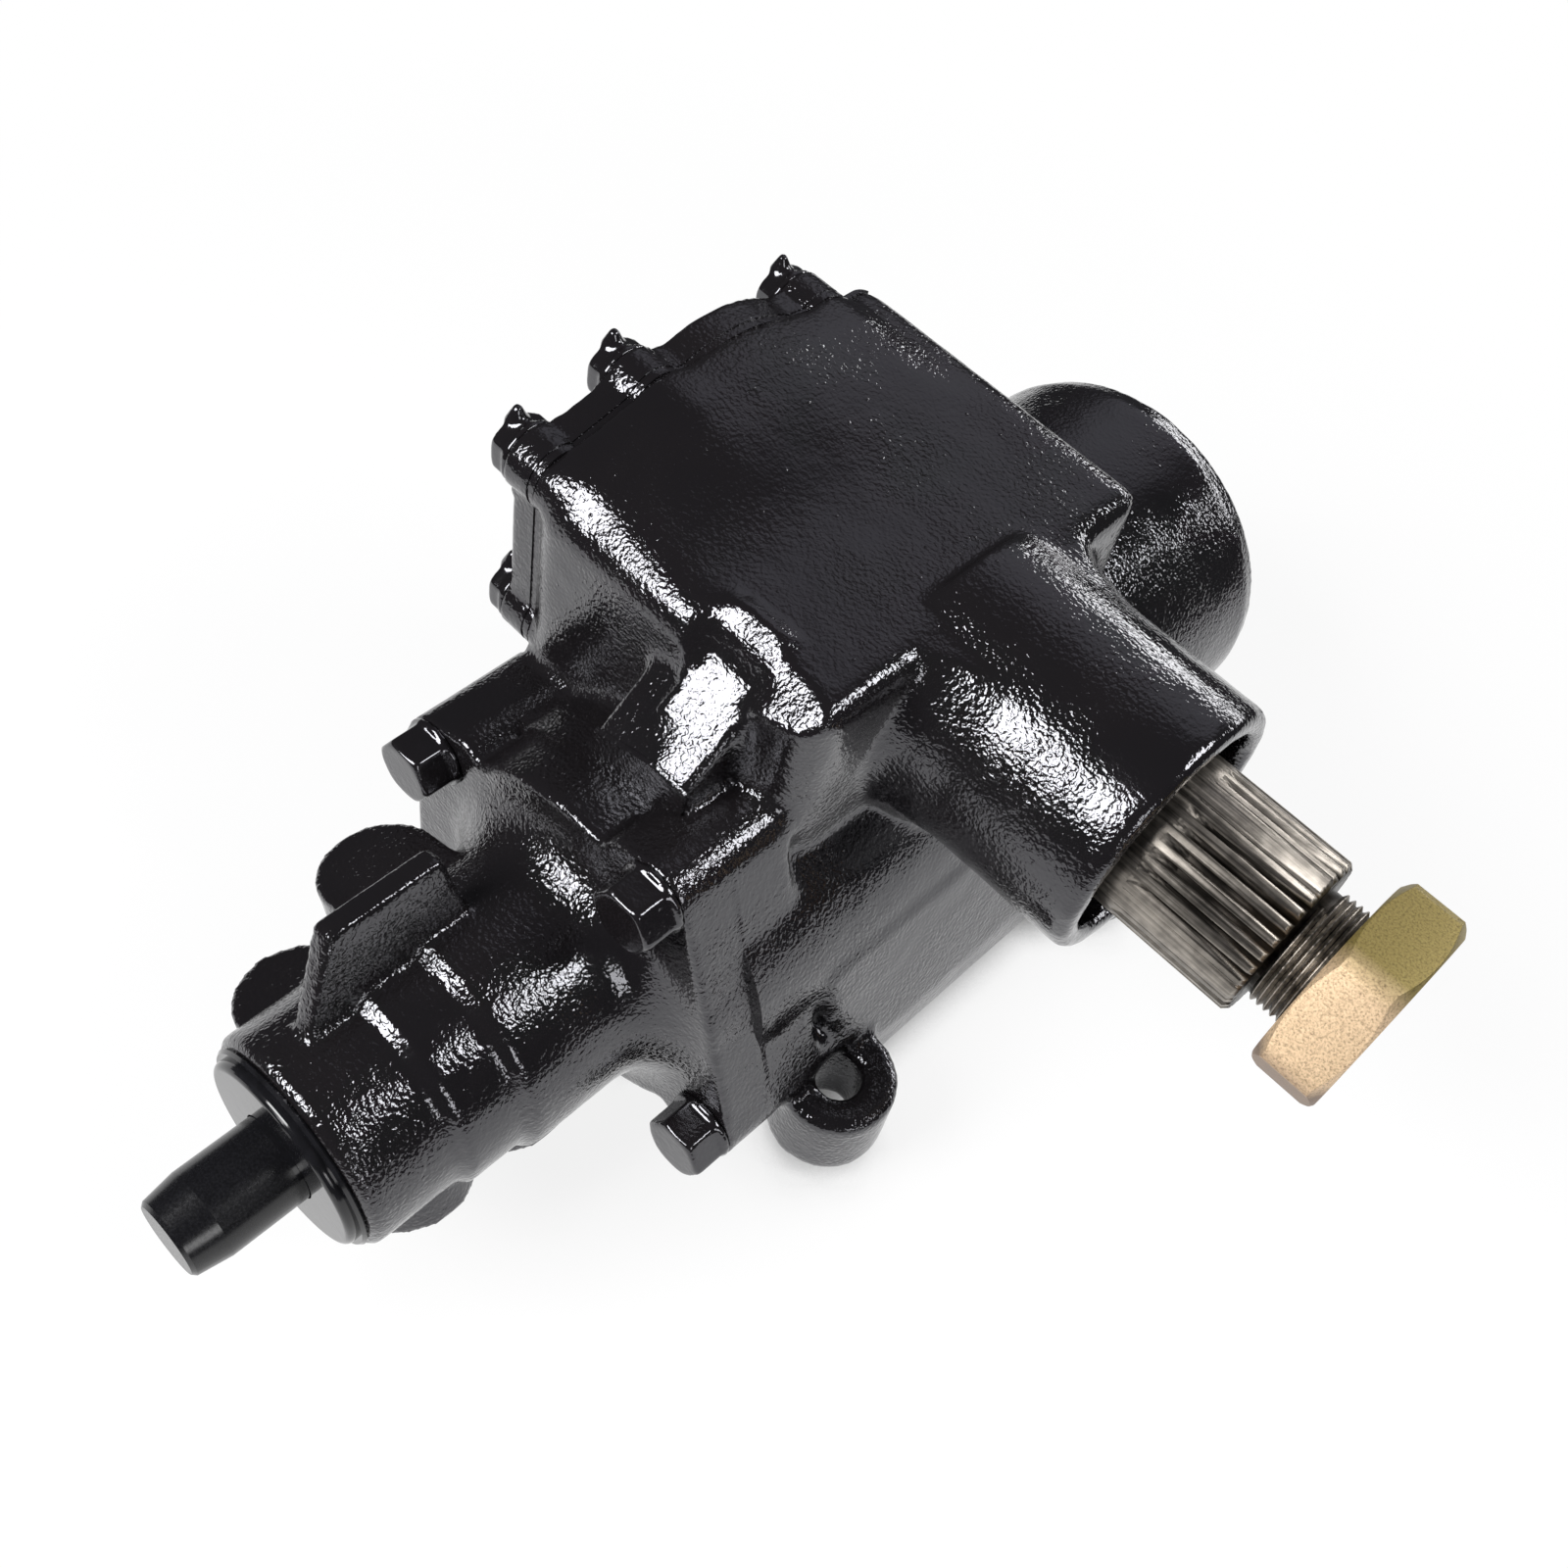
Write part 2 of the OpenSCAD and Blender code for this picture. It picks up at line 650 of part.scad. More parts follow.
module side_cover() color("#1c1c1f") in_frame() on_sector() difference() {
    union() {
        cover_outline(-cover_out, -cover_in);
        rod_x(-cover_in - over, -cover_spigot_end, cover_spigot_r);
    }
    rod_x(-cover_in + 2, -cover_spigot_end + over, cover_journal_r + bush_wall + seat_play);
    rod_x(-cover_out - over, -cover_in + 2 + over, adjuster_r + seat_play);
    for (p = cover_bolts)
        translate([0, p.x, p.y]) rod_x(-cover_out - over, -cover_in + over, cover_bolt_r + bolt_play);
}

module side_cover_gasket() color("#4a4640") in_frame() on_sector() difference() {
    cover_outline(-cover_in, -cover_joint, cover_inset);
    rod_x(-cover_in - over, -cover_joint + over, cover_spigot_r + room);
    for (p = cover_bolts)
        translate([0, p.x, p.y]) rod_x(-cover_in - over, -cover_joint + over, cover_bolt_r + bolt_play);
}

module side_cover_bolts() color("#202024") in_frame() on_sector()
    for (p = cover_bolts)
        translate([-cover_out, p.x, p.y]) rotate([0, -90, 0])
            flange_bolt(cover_bolt_af, cover_bolt_r, cover_head_h, cover_t + gasket_t + cover_bolt_depth - 2);

module cover_bush() color("#a8854e") in_frame() on_sector()
    tube_x(-cover_spigot_end - 2 - bush_l, -cover_spigot_end - 2,
        cover_journal_r + run_play, cover_journal_r + bush_wall);

// Screw with a button head that turns in the slot of the sector shaft
module lash_adjuster_screw() color("#7d7d80") in_frame() on_sector() difference() {
    head = cover_spigot_end + adjuster_slot;
    turn_x([
        [0, -cover_out - lock_nut_t - 4], [adjuster_r - 1, -cover_out - lock_nut_t - 4],
        [adjuster_r, -cover_out - lock_nut_t - 3], [adjuster_r, -head],
        [adjuster_head_r, -head], [adjuster_head_r, -head + adjuster_head_t], [0, -head + adjuster_head_t]
    ]);
    translate([-cover_out - lock_nut_t - 2, 0, 0]) rotate([0, -90, 0]) cylinder(h = 5, d = 5, $fn = 6);
}

module adjuster_lock_nut() color("#8a8a8c") in_frame() on_sector()
    translate([-cover_out, 0, 0]) rotate([0, -90, 0]) difference() {
        hex_head(lock_nut_af, lock_nut_t);
        translate([0, 0, -over]) cylinder(h = lock_nut_t + 2 * over, r = adjuster_r + seat_play);
    }

// Involute flank: angle from the tooth's middle at radius r
function involute(a) = tan(a) * 180 / PI - a;
function flank_angle(r) = 90 / pinion_teeth - tooth_play / pitch_r * 180 / PI
    + involute(pressure_angle) - involute(acos(min(1, base_r / r)));
function flank(side) = [
    for (i = [0:5]) let (r = base_r + (tooth_tip_r - base_r) * i / 5) [r, side * flank_angle(r)]
];
function polar(p, turn) = p[0] * [sin(p[1] + turn), -cos(p[1] + turn)];
module sector_tooth(turn) {
    left = flank(-1);
    right = flank(1);
    foot = base_r - 8;
    outline = concat(
        [[foot, right[0][1]]], right, [for (i = [5:-1:0]) left[i]], [[foot, left[0][1]]]
    );
    translate([-sector_half_w, 0, 0]) rotate([90, 0, 90])
        linear_extrude(2 * sector_half_w) polygon([for (p = outline) polar(p, turn)]);
}

// Spline teeth: straight flanks, with four positions left whole so the arm goes on one way
spline_start = nose_end + 2;
spline_step = 360 / spline_count;
function spline_tooth(k) = let (a = k * spline_step, w = spline_step * 0.27, root = spline_r - spline_depth) [
    [root, a - w - 0.9], [spline_r + 1, a - w + 1.6], [spline_r + 1, a + w - 1.6], [root, a + w + 0.9]
];
function blank_tooth(k) = let (a = k * spline_step, w = spline_step * 0.77) [
    [spline_r + 1, a - w], [spline_r + 1, a], [spline_r + 1, a + w]
];
spline_profile = [
    for (k = [0:spline_count - 1])
        each (k % (spline_count / 4) == 0) ? blank_tooth(k) : spline_tooth(k)
];
module spline_teeth() intersection() {
    translate([spline_start, 0, 0]) rotate([90, 0, 90]) linear_extrude(spline_end - spline_start)
        polygon([for (p = spline_profile) p[0] * [cos(p[1]), sin(p[1])]]);
    turn_x([
        [0, spline_start - over], [spline_r, spline_start - over], [spline_r, spline_end - 1],
        [spline_r - 1, spline_end], [0, spline_end]
    ]);
}

// Turned shaft: cover journal, tooth core, bearing journal, spline run-out, relief and nut thread
module shaft_core() {
    root = spline_r - spline_depth - 0.3;
    runout = 30;
    runout_l = sqrt(pow(runout, 2) - pow(runout - (spline_r - root), 2));
    turn_x(concat(
        [
            [0, -cover_spigot_end - bush_l - 1], [cover_journal_r - 1, -cover_spigot_end - bush_l - 1],
            [cover_journal_r, -cover_spigot_end - bush_l], [cover_journal_r, -sector_half_w],
            [tooth_core_r, -sector_half_w], [tooth_core_r, sector_half_w],
            [sector_journal_r, sector_half_w + 2], [sector_journal_r, nose_end - 1], [spline_r, nose_end],
            [spline_r, spline_start]
        ],
        [for (i = [1:5]) let (x = runout_l * i / 5)
            [root + runout - sqrt(pow(runout, 2) - pow(runout_l - x, 2)), spline_start + x]],
        [
            [root, spline_end], [thread_r - 1, spline_end], [thread_r - 1, spline_end + 4],
            [thread_r, spline_end + 5], [thread_r, shaft_end - 1.5],
            [thread_r - 1.5, shaft_end], [0, shaft_end]
        ]
    ));
}

module sector_shaft() color("#8b8782") in_frame() on_sector() difference() {
    union() {
        shaft_core();
        for (a = sector_angles) sector_tooth(a);
        spline_teeth();
    }
    slot = -cover_spigot_end - adjuster_slot;
    translate([slot - 0.2, -30, -adjuster_head_r - 0.3])
        cube([adjuster_head_t + 0.4, 60, 2 * adjuster_head_r + 0.6]);
    translate([slot - 30, -30, -adjuster_r - 0.4]) cube([31, 60, 2 * adjuster_r + 0.8]);
}

// Hexagon nut, turned off at both faces and narrowed a little over its corners
nut_corners = nut_af * 1.12;
module pitman_nut() color("#b98d45") in_frame() on_sector() translate([nut_seat, 0, 0])
    rotate([0, 90, 0]) rotate([0, 0, 30]) difference() {
        intersection() {
            translate([0, 0, nut_t]) mirror([0, 0, 1]) hex_head(nut_af, nut_t);
            hex_head(nut_af, nut_t);
            rotate([0, 0, 30]) cylinder(h = nut_t, d = nut_corners / cos(30), $fn = 6);
        }
        translate([0, 0, -over]) cylinder(h = nut_t + 2 * over, r = thread_r + seat_play);
    }

module sector_bearing_shell() color("#6f6f72") in_frame() on_sector()
    tube_x(sector_shoulder, sector_shoulder + sector_bearing_l, sector_shell_r, sector_bearing_r);

module sector_bearing_needles() color("#9a9a9c") in_frame() on_sector() {
    path = sector_journal_r + run_play + needle_d / 2;
    count = floor(360 / (2 * asin(needle_d * 1.06 / 2 / path)));
    for (k = [0:count - 1]) rotate([k * 360 / count, 0, 0]) translate([0, 0, path])
        rod_x(sector_shoulder + 2, sector_shoulder + sector_bearing_l - 2, needle_d / 2);
}

// Lip seal: a rubber ring with a hollow back and a lip that leans on the shaft
module lip_seal_ring(r_in, r_out, t) rotate_extrude() polygon([
    [r_in + 0.6, 0], [r_out, 0], [r_out, t], [r_out - 1.6, t], [r_out - 1.6, 1.8],
    [r_in + 2.4, 1.8], [r_in + 1.6, t - 1], [r_in, t - 1.6], [r_in, t - 2.4]
]);

module sector_seal() color("#18181a") in_frame() on_sector()
    translate([seal_face, 0, 0]) rotate([0, 90, 0])
        translate([0, 0, seal_t]) mirror([0, 0, 1])
            lip_seal_ring(sector_journal_r + run_play, recess_r - seat_play, seal_t);

module seal_backup_washer() color("#5b5b5e") in_frame() on_sector()
    tube_x(seal_face + seal_t, seal_face + seal_t + washer_t, sector_journal_r + room, recess_r - seat_play);

module seal_retaining_ring() color("#3a3a3d") in_frame() on_sector() difference() {
    tube_x(snap_face, snap_face + snap_t, recess_r - 2.2, recess_r + snap_groove - snap_play);
    translate([snap_face - over, -2, 0]) cube([snap_t + 2 * over, 4, recess_r + 5]);
}

// Rack spaces, wider at the top by the pressure angle
module rack_space(y) {
    half = rack_pitch / 4;
    slope = tan(pressure_angle);
    up = rack_top + 6 - rack_line;
    down = rack_line - rack_root;
    translate([-40, y, rack_line]) rotate([90, 0, 90]) linear_extrude(80) polygon([
        [-half + down * slope, -down], [half - down * slope, -down],
        [half + up * slope, up], [-half - up * slope, up]
    ]);
}

module rack_piston() color("#84827e") in_frame() difference() {
    turn_y([
        [0, -piston_front], [piston_r - 1.5, -piston_front], [piston_r, -piston_front + 1.5],
        [piston_r, piston_rear - 1.5], [piston_r - 1.5, piston_rear], [0, piston_rear]
    ]);
    translate([-40, -piston_front - over, rack_top]) cube([80, piston_front + over + 2.2 * rack_pitch, 20]);
    for (k = [-1:1]) rack_space(k * rack_pitch);
    rod_y(-piston_front - over, piston_rear + over, nut_bore_r);
    tube_y(ring_front - ring_side_play, ring_front + ring_w, piston_r - ring_depth, piston_r + over);
    translate([-guide_pocket_w, -guide_pocket_end, -2 * guide_flat])
        cube([2 * guide_pocket_w, 2 * guide_pocket_end, guide_flat]);
    for (y = [-guide_leg, guide_leg]) translate([0, y, -50]) cylinder(h = 50, r = guide_hole_r);
    for (x = [-clamp_screw_x, clamp_screw_x]) translate([x, 0, -guide_flat - over])
        cylinder(h = 6 + over, r = clamp_screw_r + seat_play);
}

module piston_ring() color("#2f3a2c") in_frame()
    tube_y(ring_front, ring_front + ring_w, piston_r - ring_depth + ring_side_play, bore_r - seat_play);

module piston_end_plug() color("#77757a") in_frame() difference() {
    rod_y(piston_bore_rear, piston_rear, nut_bore_r - seat_play);
    translate([-plug_key / 2, piston_rear - plug_key_depth, -plug_key / 2])
        cube([plug_key, plug_key_depth + over, plug_key]);
}

// Balls follow the worm groove and rest against the bore of the piston
module recirculating_balls() color("#b8b8ba") in_frame() rotate([-90, 0, 0])
    for (i = [0:ball_count - 1]) {
        z = -circuit_l / 2 + circuit_l * i / (ball_count - 1);
        a = 360 * (z + worm_front) / lead;
        translate([ball_path_r * cos(a), ball_path_r * sin(a), z]) sphere(r = ball_r, $fn = 32);
    }

// Return tube: two legs up to the circuit's ends, joined by a run along the piston
module guide_tube(r) {
    bend = guide_r + 1.5;
    leg_top = nut_bore_r + 0.3;
    rod_l = guide_leg - bend;
    translate([0, 0, -guide_run]) rod_y(-rod_l, rod_l, r);
    for (s = [-1, 1]) {
        translate([0, s * guide_leg, -guide_run + bend]) cylinder(h = guide_run - bend - leg_top, r = r);
        translate([0, s * rod_l, -guide_run + bend]) rotate([0, 0, s > 0 ? 0 : 180]) rotate([90, 0, 90])
            rotate([0, 0, -90]) rotate_extrude(angle = 90) translate([bend, 0]) circle(r = r);
    }
}
module ball_return_guide() color("#a5a29a") in_frame() difference() {
    guide_tube(guide_r);
    translate([-guide_slit / 2, -guide_pocket_end, -2 * guide_flat])
        cube([guide_slit, 2 * guide_pocket_end, 2 * guide_flat]);
}

module guide_clamp() color("#8f8c86") in_frame() difference() {
    low = guide_run + guide_r + 0.1 + clamp_t;
    union() {
        translate([-clamp_screw_x - 3.2, -clamp_half_l, -guide_flat - clamp_t])
            cube([2 * (clamp_screw_x + 3.2), 2 * clamp_half_l, clamp_t]);
        translate([0, 0, -guide_run]) rod_y(-clamp_half_l, clamp_half_l, guide_r + 0.1 + clamp_t);
        translate([-guide_r - 0.1 - clamp_t, -clamp_half_l, -guide_run])
            cube([2 * (guide_r + 0.1 + clamp_t), 2 * clamp_half_l, guide_run - guide_flat]);
    }
    translate([0, 0, -guide_run]) rod_y(-clamp_half_l - over, clamp_half_l + over, guide_r + 0.1);
    translate([-20, -20, -guide_flat]) cube([40, 40, 40]);
    translate([-guide_r - 0.1, -20, -guide_run]) cube([2 * guide_r + 0.2, 40, guide_run]);
    for (x = [-clamp_screw_x, clamp_screw_x])
        translate([x, 0, -low]) cylinder(h = low, r = clamp_screw_r + 0.1);
}

module guide_clamp_screws() color("#6e6c69") in_frame()
    for (x = [-clamp_screw_x, clamp_screw_x]) translate([x, 0, -guide_flat - clamp_t]) {
        cylinder(h = 5, r = clamp_screw_r);
        translate([0, 0, -2]) cylinder(h = 2, r = clamp_screw_r + 1.2);
    }

// Worm section: the ball groove cut by a ball rolling along the helix
function worm_edge(a) = let (d = lead * a / 360, clear = pow(groove_r, 2) - d * d)
    clear <= 0 ? worm_r : min(worm_r, ball_path_r - sqrt(clear));
module worm_thread() translate([0, 0, -worm_front]) linear_extrude(worm_l, twist = -360 * worm_l / lead,
        slices = round(18 * worm_l / lead), $fn = 24)
    polygon([for (i = [0:23]) let (a = -180 + 15 * i) worm_edge(a) * [cos(a), sin(a)]]);

module worm_shaft() color("#8d8a86") in_frame() rotate([-90, 0, 0]) {
    worm_thread();
    difference() {
        rotate_extrude() polygon([
            [0, -sleeve_rear], [worm_neck_r, -sleeve_rear], [worm_neck_r, -flange_front],
            [worm_flange_r, -flange_front], [worm_flange_r, -flange_rear], [worm_neck_r - 1, -flange_rear],
            [worm_neck_r - 1, -flange_rear + 10], [worm_r - 3, -flange_rear + 12],
            [worm_r - 3, -worm_front], [0, -worm_front]
        ]);
        translate([0, 0, -sleeve_rear - over]) cylinder(h = 22 + over, r = torsion_end_r + seat_play);
    }
}

// Needle thrust bearing: a flat cage ring with radial rollers in its windows
module thrust_bearing(y) {
    inner = worm_neck_r + 1;
    outer = worm_flange_r - 0.5;
    count = 24;
    roller = thrust_t / 2 - 0.02;
    difference() {
        tube_y(y + 0.6, y + thrust_t - 0.6, inner, outer);
        for (k = [0:count - 1]) translate([0, y + thrust_t / 2, 0]) rotate([0, k * 360 / count, 0])
            translate([inner + 1.4, -2, -roller - 0.05]) cube([outer - inner - 2.8, 4, 2 * roller + 0.1]);
    }
    for (k = [0:count - 1]) translate([0, y + thrust_t / 2, 0]) rotate([0, k * 360 / count, 0])
        rod_x(inner + 1.5, outer - 1.5, roller);
}
module upper_thrust_bearing() color("#9a9a9c") in_frame() thrust_bearing(-thrust_face);
module lower_thrust_bearing() color("#9a9a9c") in_frame() thrust_bearing(-flange_rear);

module worm_race_nut() color("#77757a") in_frame() difference() {
    tube_y(-race_nut_face, -race_nut_face + race_nut_t, worm_neck_r + room, thrust_r - seat_play);
    rear = -race_nut_face + race_nut_t;
    for (k = [0:3]) rotate([0, 45 + 90 * k, 0])
        translate([worm_neck_r + race_slot_in, rear - race_slot_l / 2, -race_slot_w / 2])
            cube([race_slot_l, race_slot_l, race_slot_w]);
}

module sleeve_groove(k) {
    step = (sleeve_l - 2 * sleeve_ring_in - sleeve_ring_w) / (ring_count - 1);
    translate([0, -sleeve_front + sleeve_ring_in + k * step, 0]) children();
}

module valve_sleeve() color("#93908b") in_frame() difference() {
    tube_y(-sleeve_front, -sleeve_rear, spool_r + run_play, sleeve_r - 0.25);
    for (k = [0:ring_count - 1]) sleeve_groove(k)
        tube_y(-0.05, sleeve_ring_w + 0.05, sleeve_r - sleeve_ring_t, sleeve_r + 3);
    for (k = [0:ring_count - 2]) for (a = [0:90:270]) sleeve_groove(k + 0.5)
        translate([0, sleeve_ring_w / 2, 0]) rotate([0, a + 45 * k, 0]) rod_x(spool_r - 2, sleeve_r + 2, 1.6);
}

module sleeve_seal_rings() color("#2f3a2c") in_frame()
    for (k = [0:ring_count - 1]) sleeve_groove(k)
        tube_y(0, sleeve_ring_w, sleeve_r - sleeve_ring_t + 0.05, sleeve_r);

// Upright rod where the pin goes through the input shaft and the torsion bar
module cross_pin(half_l, r)
    translate([0, -torsion_top + pin_drop, -half_l]) cylinder(h = 2 * half_l, r = r);

module torsion_bar() color("#a09c96") in_frame() difference() {
    turn_y([
        [0, -torsion_top], [torsion_end_r, -torsion_top], [torsion_end_r, -torsion_top + torsion_end_l],
        [torsion_r, -torsion_top + torsion_end_l + 3], [torsion_r, -sleeve_rear - 4],
        [torsion_end_r, -sleeve_rear - 1], [torsion_end_r, -sleeve_rear + 20], [0, -sleeve_rear + 20]
    ]);
    cross_pin(input_r, pin_r + pin_play);
}

module torsion_bar_pin() color("#5f5d5a") in_frame() cross_pin(input_r - pin_inset, pin_r);

// Stub shaft: serrated end, seal and bearing journals, and a slotted spool round the torsion bar
module input_shaft() color("#8b8782") in_frame() {
    serrations = 36;
    spline_tip = input_r - cap_wall - 0.05;
    bar_hole_r = torsion_end_r + run_play;
    difference() {
        turn_y([
            [0, -cap_seat], [input_r, -cap_seat], [input_r, -seal_step], [input_journal_r, -seal_step + 1],
            [input_journal_r, -sleeve_front - 1], [spool_r, -sleeve_front], [spool_r, -sleeve_rear - 2],
            [bar_hole_r, -sleeve_rear - 2], [bar_hole_r, -torsion_top - 0.5], [0, -torsion_top - 0.5]
        ]);
        cross_pin(input_r + over, pin_r + pin_seat);
        for (k = [0:5]) rotate([0, 60 * k, 0]) translate([spool_r - 1.2, -sleeve_front + 8, -2])
            cube([5, sleeve_l - 16, 4]);
    }
    translate([0, -cap_seat, 0]) rotate([90, 0, 0]) linear_extrude(cap_end - cap_taper_l - cap_seat)
        polygon([for (k = [0:2 * serrations - 1]) let (a = k * 180 / serrations)
            (spline_tip - k % 2) * [cos(a), sin(a)]]);
}

module input_shaft_cap() color("#17171a") in_frame() {
    tip = input_r - cap_taper_l * tan(8);
    inner = input_r - cap_wall;
    turn_y([
        [inner, -cap_seat], [input_r, -cap_seat], [input_r, -cap_end + cap_taper_l], [tip, -cap_end + 0.8],
        [tip - 0.8, -cap_end], [0, -cap_end], [0, -cap_end + cap_bottom],
        [tip - cap_wall, -cap_end + cap_bottom], [inner, -cap_end + cap_taper_l]
    ]);
}

module input_bearing_shell() color("#6f6f72") in_frame()
    tube_y(-bearing_step - input_bearing_l, -bearing_step, input_shell_r, input_bearing_r);

module input_bearing_needles() color("#9a9a9c") in_frame() {
    path = input_journal_r + run_play + input_needle_d / 2;
    count = floor(360 / (2 * asin(input_needle_d * 1.06 / 2 / path)));
    for (k = [0:count - 1]) rotate([0, k * 360 / count, 0]) translate([path, 0, 0])
        rod_y(-bearing_step - input_bearing_l + 1.5, -bearing_step - 1.5, input_needle_d / 2);
}

module input_seal() color("#18181a") in_frame() translate([0, -seal_step, 0]) rotate([90, 0, 0])
    lip_seal_ring(input_r + run_play, input_seal_r, input_seal_t);

// Pressed cover with a rolled rim, seated on the neck and centred in the seal bore
module dust_cover() color("#26262b") in_frame() {
    spigot = neck_front - seal_step - input_seal_t - dust_play;
    bead_r = neck_front_r - dust_inset;
    turn_y(concat(
        [[input_r + dust_play, -dust_face]],
        [for (a = [0:15:90])
            [dust_r - dust_rim + dust_rim * sin(a), -dust_face + dust_rim - dust_rim * cos(a)]],
        [
            [dust_r, -neck_front - dust_rim], [bead_r - dust_bead, -neck_front - dust_rim],
            [bead_r, -neck_front - dust_rim / 2], [bead_r - dust_bead, -neck_front],
            [input_seal_r - seat_play, -neck_front],
            [input_seal_r - seat_play, -neck_front + spigot], [input_r + dust_play, -neck_front + spigot]
        ]
    ));
}

gear_housing();
valve_housing();
valve_housing_o_ring();
valve_housing_bolts();
side_cover();
side_cover_gasket();
side_cover_bolts();
cover_bush();
lash_adjuster_screw();
adjuster_lock_nut();
sector_shaft();
pitman_nut();
sector_bearing_shell();
sector_bearing_needles();
sector_seal();
seal_backup_washer();
seal_retaining_ring();
rack_piston();
piston_ring();
piston_end_plug();
recirculating_balls();
ball_return_guide();
guide_clamp();
guide_clamp_screws();
worm_shaft();
upper_thrust_bearing();
lower_thrust_bearing();
worm_race_nut();
valve_sleeve();
sleeve_seal_rings();
torsion_bar();
torsion_bar_pin();
input_shaft();
input_shaft_cap();
input_bearing_shell();
input_bearing_needles();
input_seal();
dust_cover();
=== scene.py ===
"""Looks of a power steering gearbox: painted castings, bolts, sector shaft, nut and a small studio."""
import json
import math

import bmesh
import bpy
import numpy as np
from mathutils import Matrix, Vector, noise
from mathutils.bvhtree import BVHTree


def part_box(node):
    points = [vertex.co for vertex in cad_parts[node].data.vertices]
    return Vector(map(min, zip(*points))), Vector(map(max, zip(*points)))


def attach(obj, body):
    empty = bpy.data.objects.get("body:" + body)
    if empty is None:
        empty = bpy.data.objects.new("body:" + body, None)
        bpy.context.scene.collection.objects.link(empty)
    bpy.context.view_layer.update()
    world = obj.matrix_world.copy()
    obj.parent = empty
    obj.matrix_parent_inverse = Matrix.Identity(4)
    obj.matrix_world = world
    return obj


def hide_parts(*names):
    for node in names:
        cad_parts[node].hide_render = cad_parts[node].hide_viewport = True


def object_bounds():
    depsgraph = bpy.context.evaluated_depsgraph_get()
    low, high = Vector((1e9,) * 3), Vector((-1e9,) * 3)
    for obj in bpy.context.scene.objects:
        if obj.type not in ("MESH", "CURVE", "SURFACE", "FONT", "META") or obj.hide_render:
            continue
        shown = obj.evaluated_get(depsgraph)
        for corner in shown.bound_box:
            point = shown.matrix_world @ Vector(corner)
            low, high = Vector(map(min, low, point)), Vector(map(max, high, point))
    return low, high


bl_info = {
    "name": "Steering gearbox",
    "version": (1, 0, 0),
    "blender": (4, 5, 0),
    "location": "3D View > Sidebar > Gearbox",
    "description": "Dresses the packed steering gearbox with painted castings, bare steel and a studio",
    "category": "Object",
}

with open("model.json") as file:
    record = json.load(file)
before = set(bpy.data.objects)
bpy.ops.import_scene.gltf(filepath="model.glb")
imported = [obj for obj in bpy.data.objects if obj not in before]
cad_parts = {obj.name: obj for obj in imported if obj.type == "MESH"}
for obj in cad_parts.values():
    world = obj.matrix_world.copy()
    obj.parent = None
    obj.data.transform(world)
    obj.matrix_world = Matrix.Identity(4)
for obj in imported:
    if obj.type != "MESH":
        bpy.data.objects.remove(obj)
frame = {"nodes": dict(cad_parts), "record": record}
NODES = frame["nodes"]
CAD_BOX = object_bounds()
MM = 0.001
WORM_AXIS = Vector((-81.0, 0.0, -55.0)) * MM
FLOOR = CAD_BOX[0].z
FRONT_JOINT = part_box("gear_housing")[0].y
COVER_IN, COVER_FACE = (corner.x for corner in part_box("side_cover_gasket"))
COVER_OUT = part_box("side_cover")[0].x
NUT_SEAT, SHAFT_END = (corner.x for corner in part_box("pitman_nut"))
# Height of the top plate above the sector shaft's axis, its front face and its right end
PLATE = 27.0 * MM
PLATE_FRONT = -56.0 * MM
PLATE_RIGHT = -52.0 * MM
# A point on the ramp in front of the plate, the way that the ramp looks, and its ends along x
RAMP = Vector((-75.0, -69.2, 4.7)) * MM
RAMP_WAY = Vector((0.0, -0.65, 0.76))
RAMP_LEFT, RAMP_RIGHT = -90.0 * MM, -69.5 * MM
# Where the ramp and the lip beside it end along y, to the right and below
RAMP_FRONT, RAMP_BACK = -67.0 * MM, -36.0 * MM
LIP_RIGHT = -50.0 * MM
RAMP_FOOT = 4.0 * MM
# A point on each joint face of the castings, and the way that the face looks
JOINTS = {
    "gear_housing": ((Vector((0, FRONT_JOINT, 0)), Vector((0, -1, 0))),
                     (Vector((COVER_FACE, 0, 0)), Vector((-1, 0, 0)))),
    "valve_housing": ((Vector((0, FRONT_JOINT, 0)), Vector((0, 1, 0))),),
    "side_cover": ((Vector((COVER_IN, 0, 0)), Vector((1, 0, 0))),),
}
# Distances from other nodes: a casting's skin stays on the CAD surface up to the first, and is free from the
# second
SEAT_NEAR, SEAT_FAR = 1.2 * MM, 3.0 * MM
# Steps in which the fillets grow, and the share of its way that a point goes in one step
FILLET_TURNS, FILLET_SHARE = 110, 0.9
SOFTEN_SHARE = 0.5
# A skin with fewer faces than this has failed
FEWEST_FACES = 1000
# Edges above these angles are sharp on machined pieces, sharp on the joint rims and broken on the nut
MACHINED_ANGLE, RIM_ANGLE, BEVEL_ANGLE = (math.radians(angle) for angle in (25, 30, 20))


def linear(code):
    """Linear colour of an sRGB hex value."""
    parts = [int(code[i:i + 2], 16) / 255 for i in (1, 3, 5)]
    return tuple(c / 12.92 if c <= 0.04045 else ((c + 0.055) / 1.055) ** 2.4 for c in parts)


def add(tree, kind, inputs, **settings):
    """One node with its settings; an input is a number, a colour or another node's socket."""
    node = tree.nodes.new(kind)
    for key, value in settings.items():
        setattr(node, key, value)
    for key, value in inputs.items():
        socket = node.inputs[key]
        if isinstance(value, bpy.types.NodeSocket):
            tree.links.new(value, socket)
        else:
            socket.default_value = value
    return node


def empty_tree(owner):
    """Node tree of a material or a world, emptied."""
    owner.use_nodes = True
    owner.node_tree.nodes.clear()
    return owner.node_tree


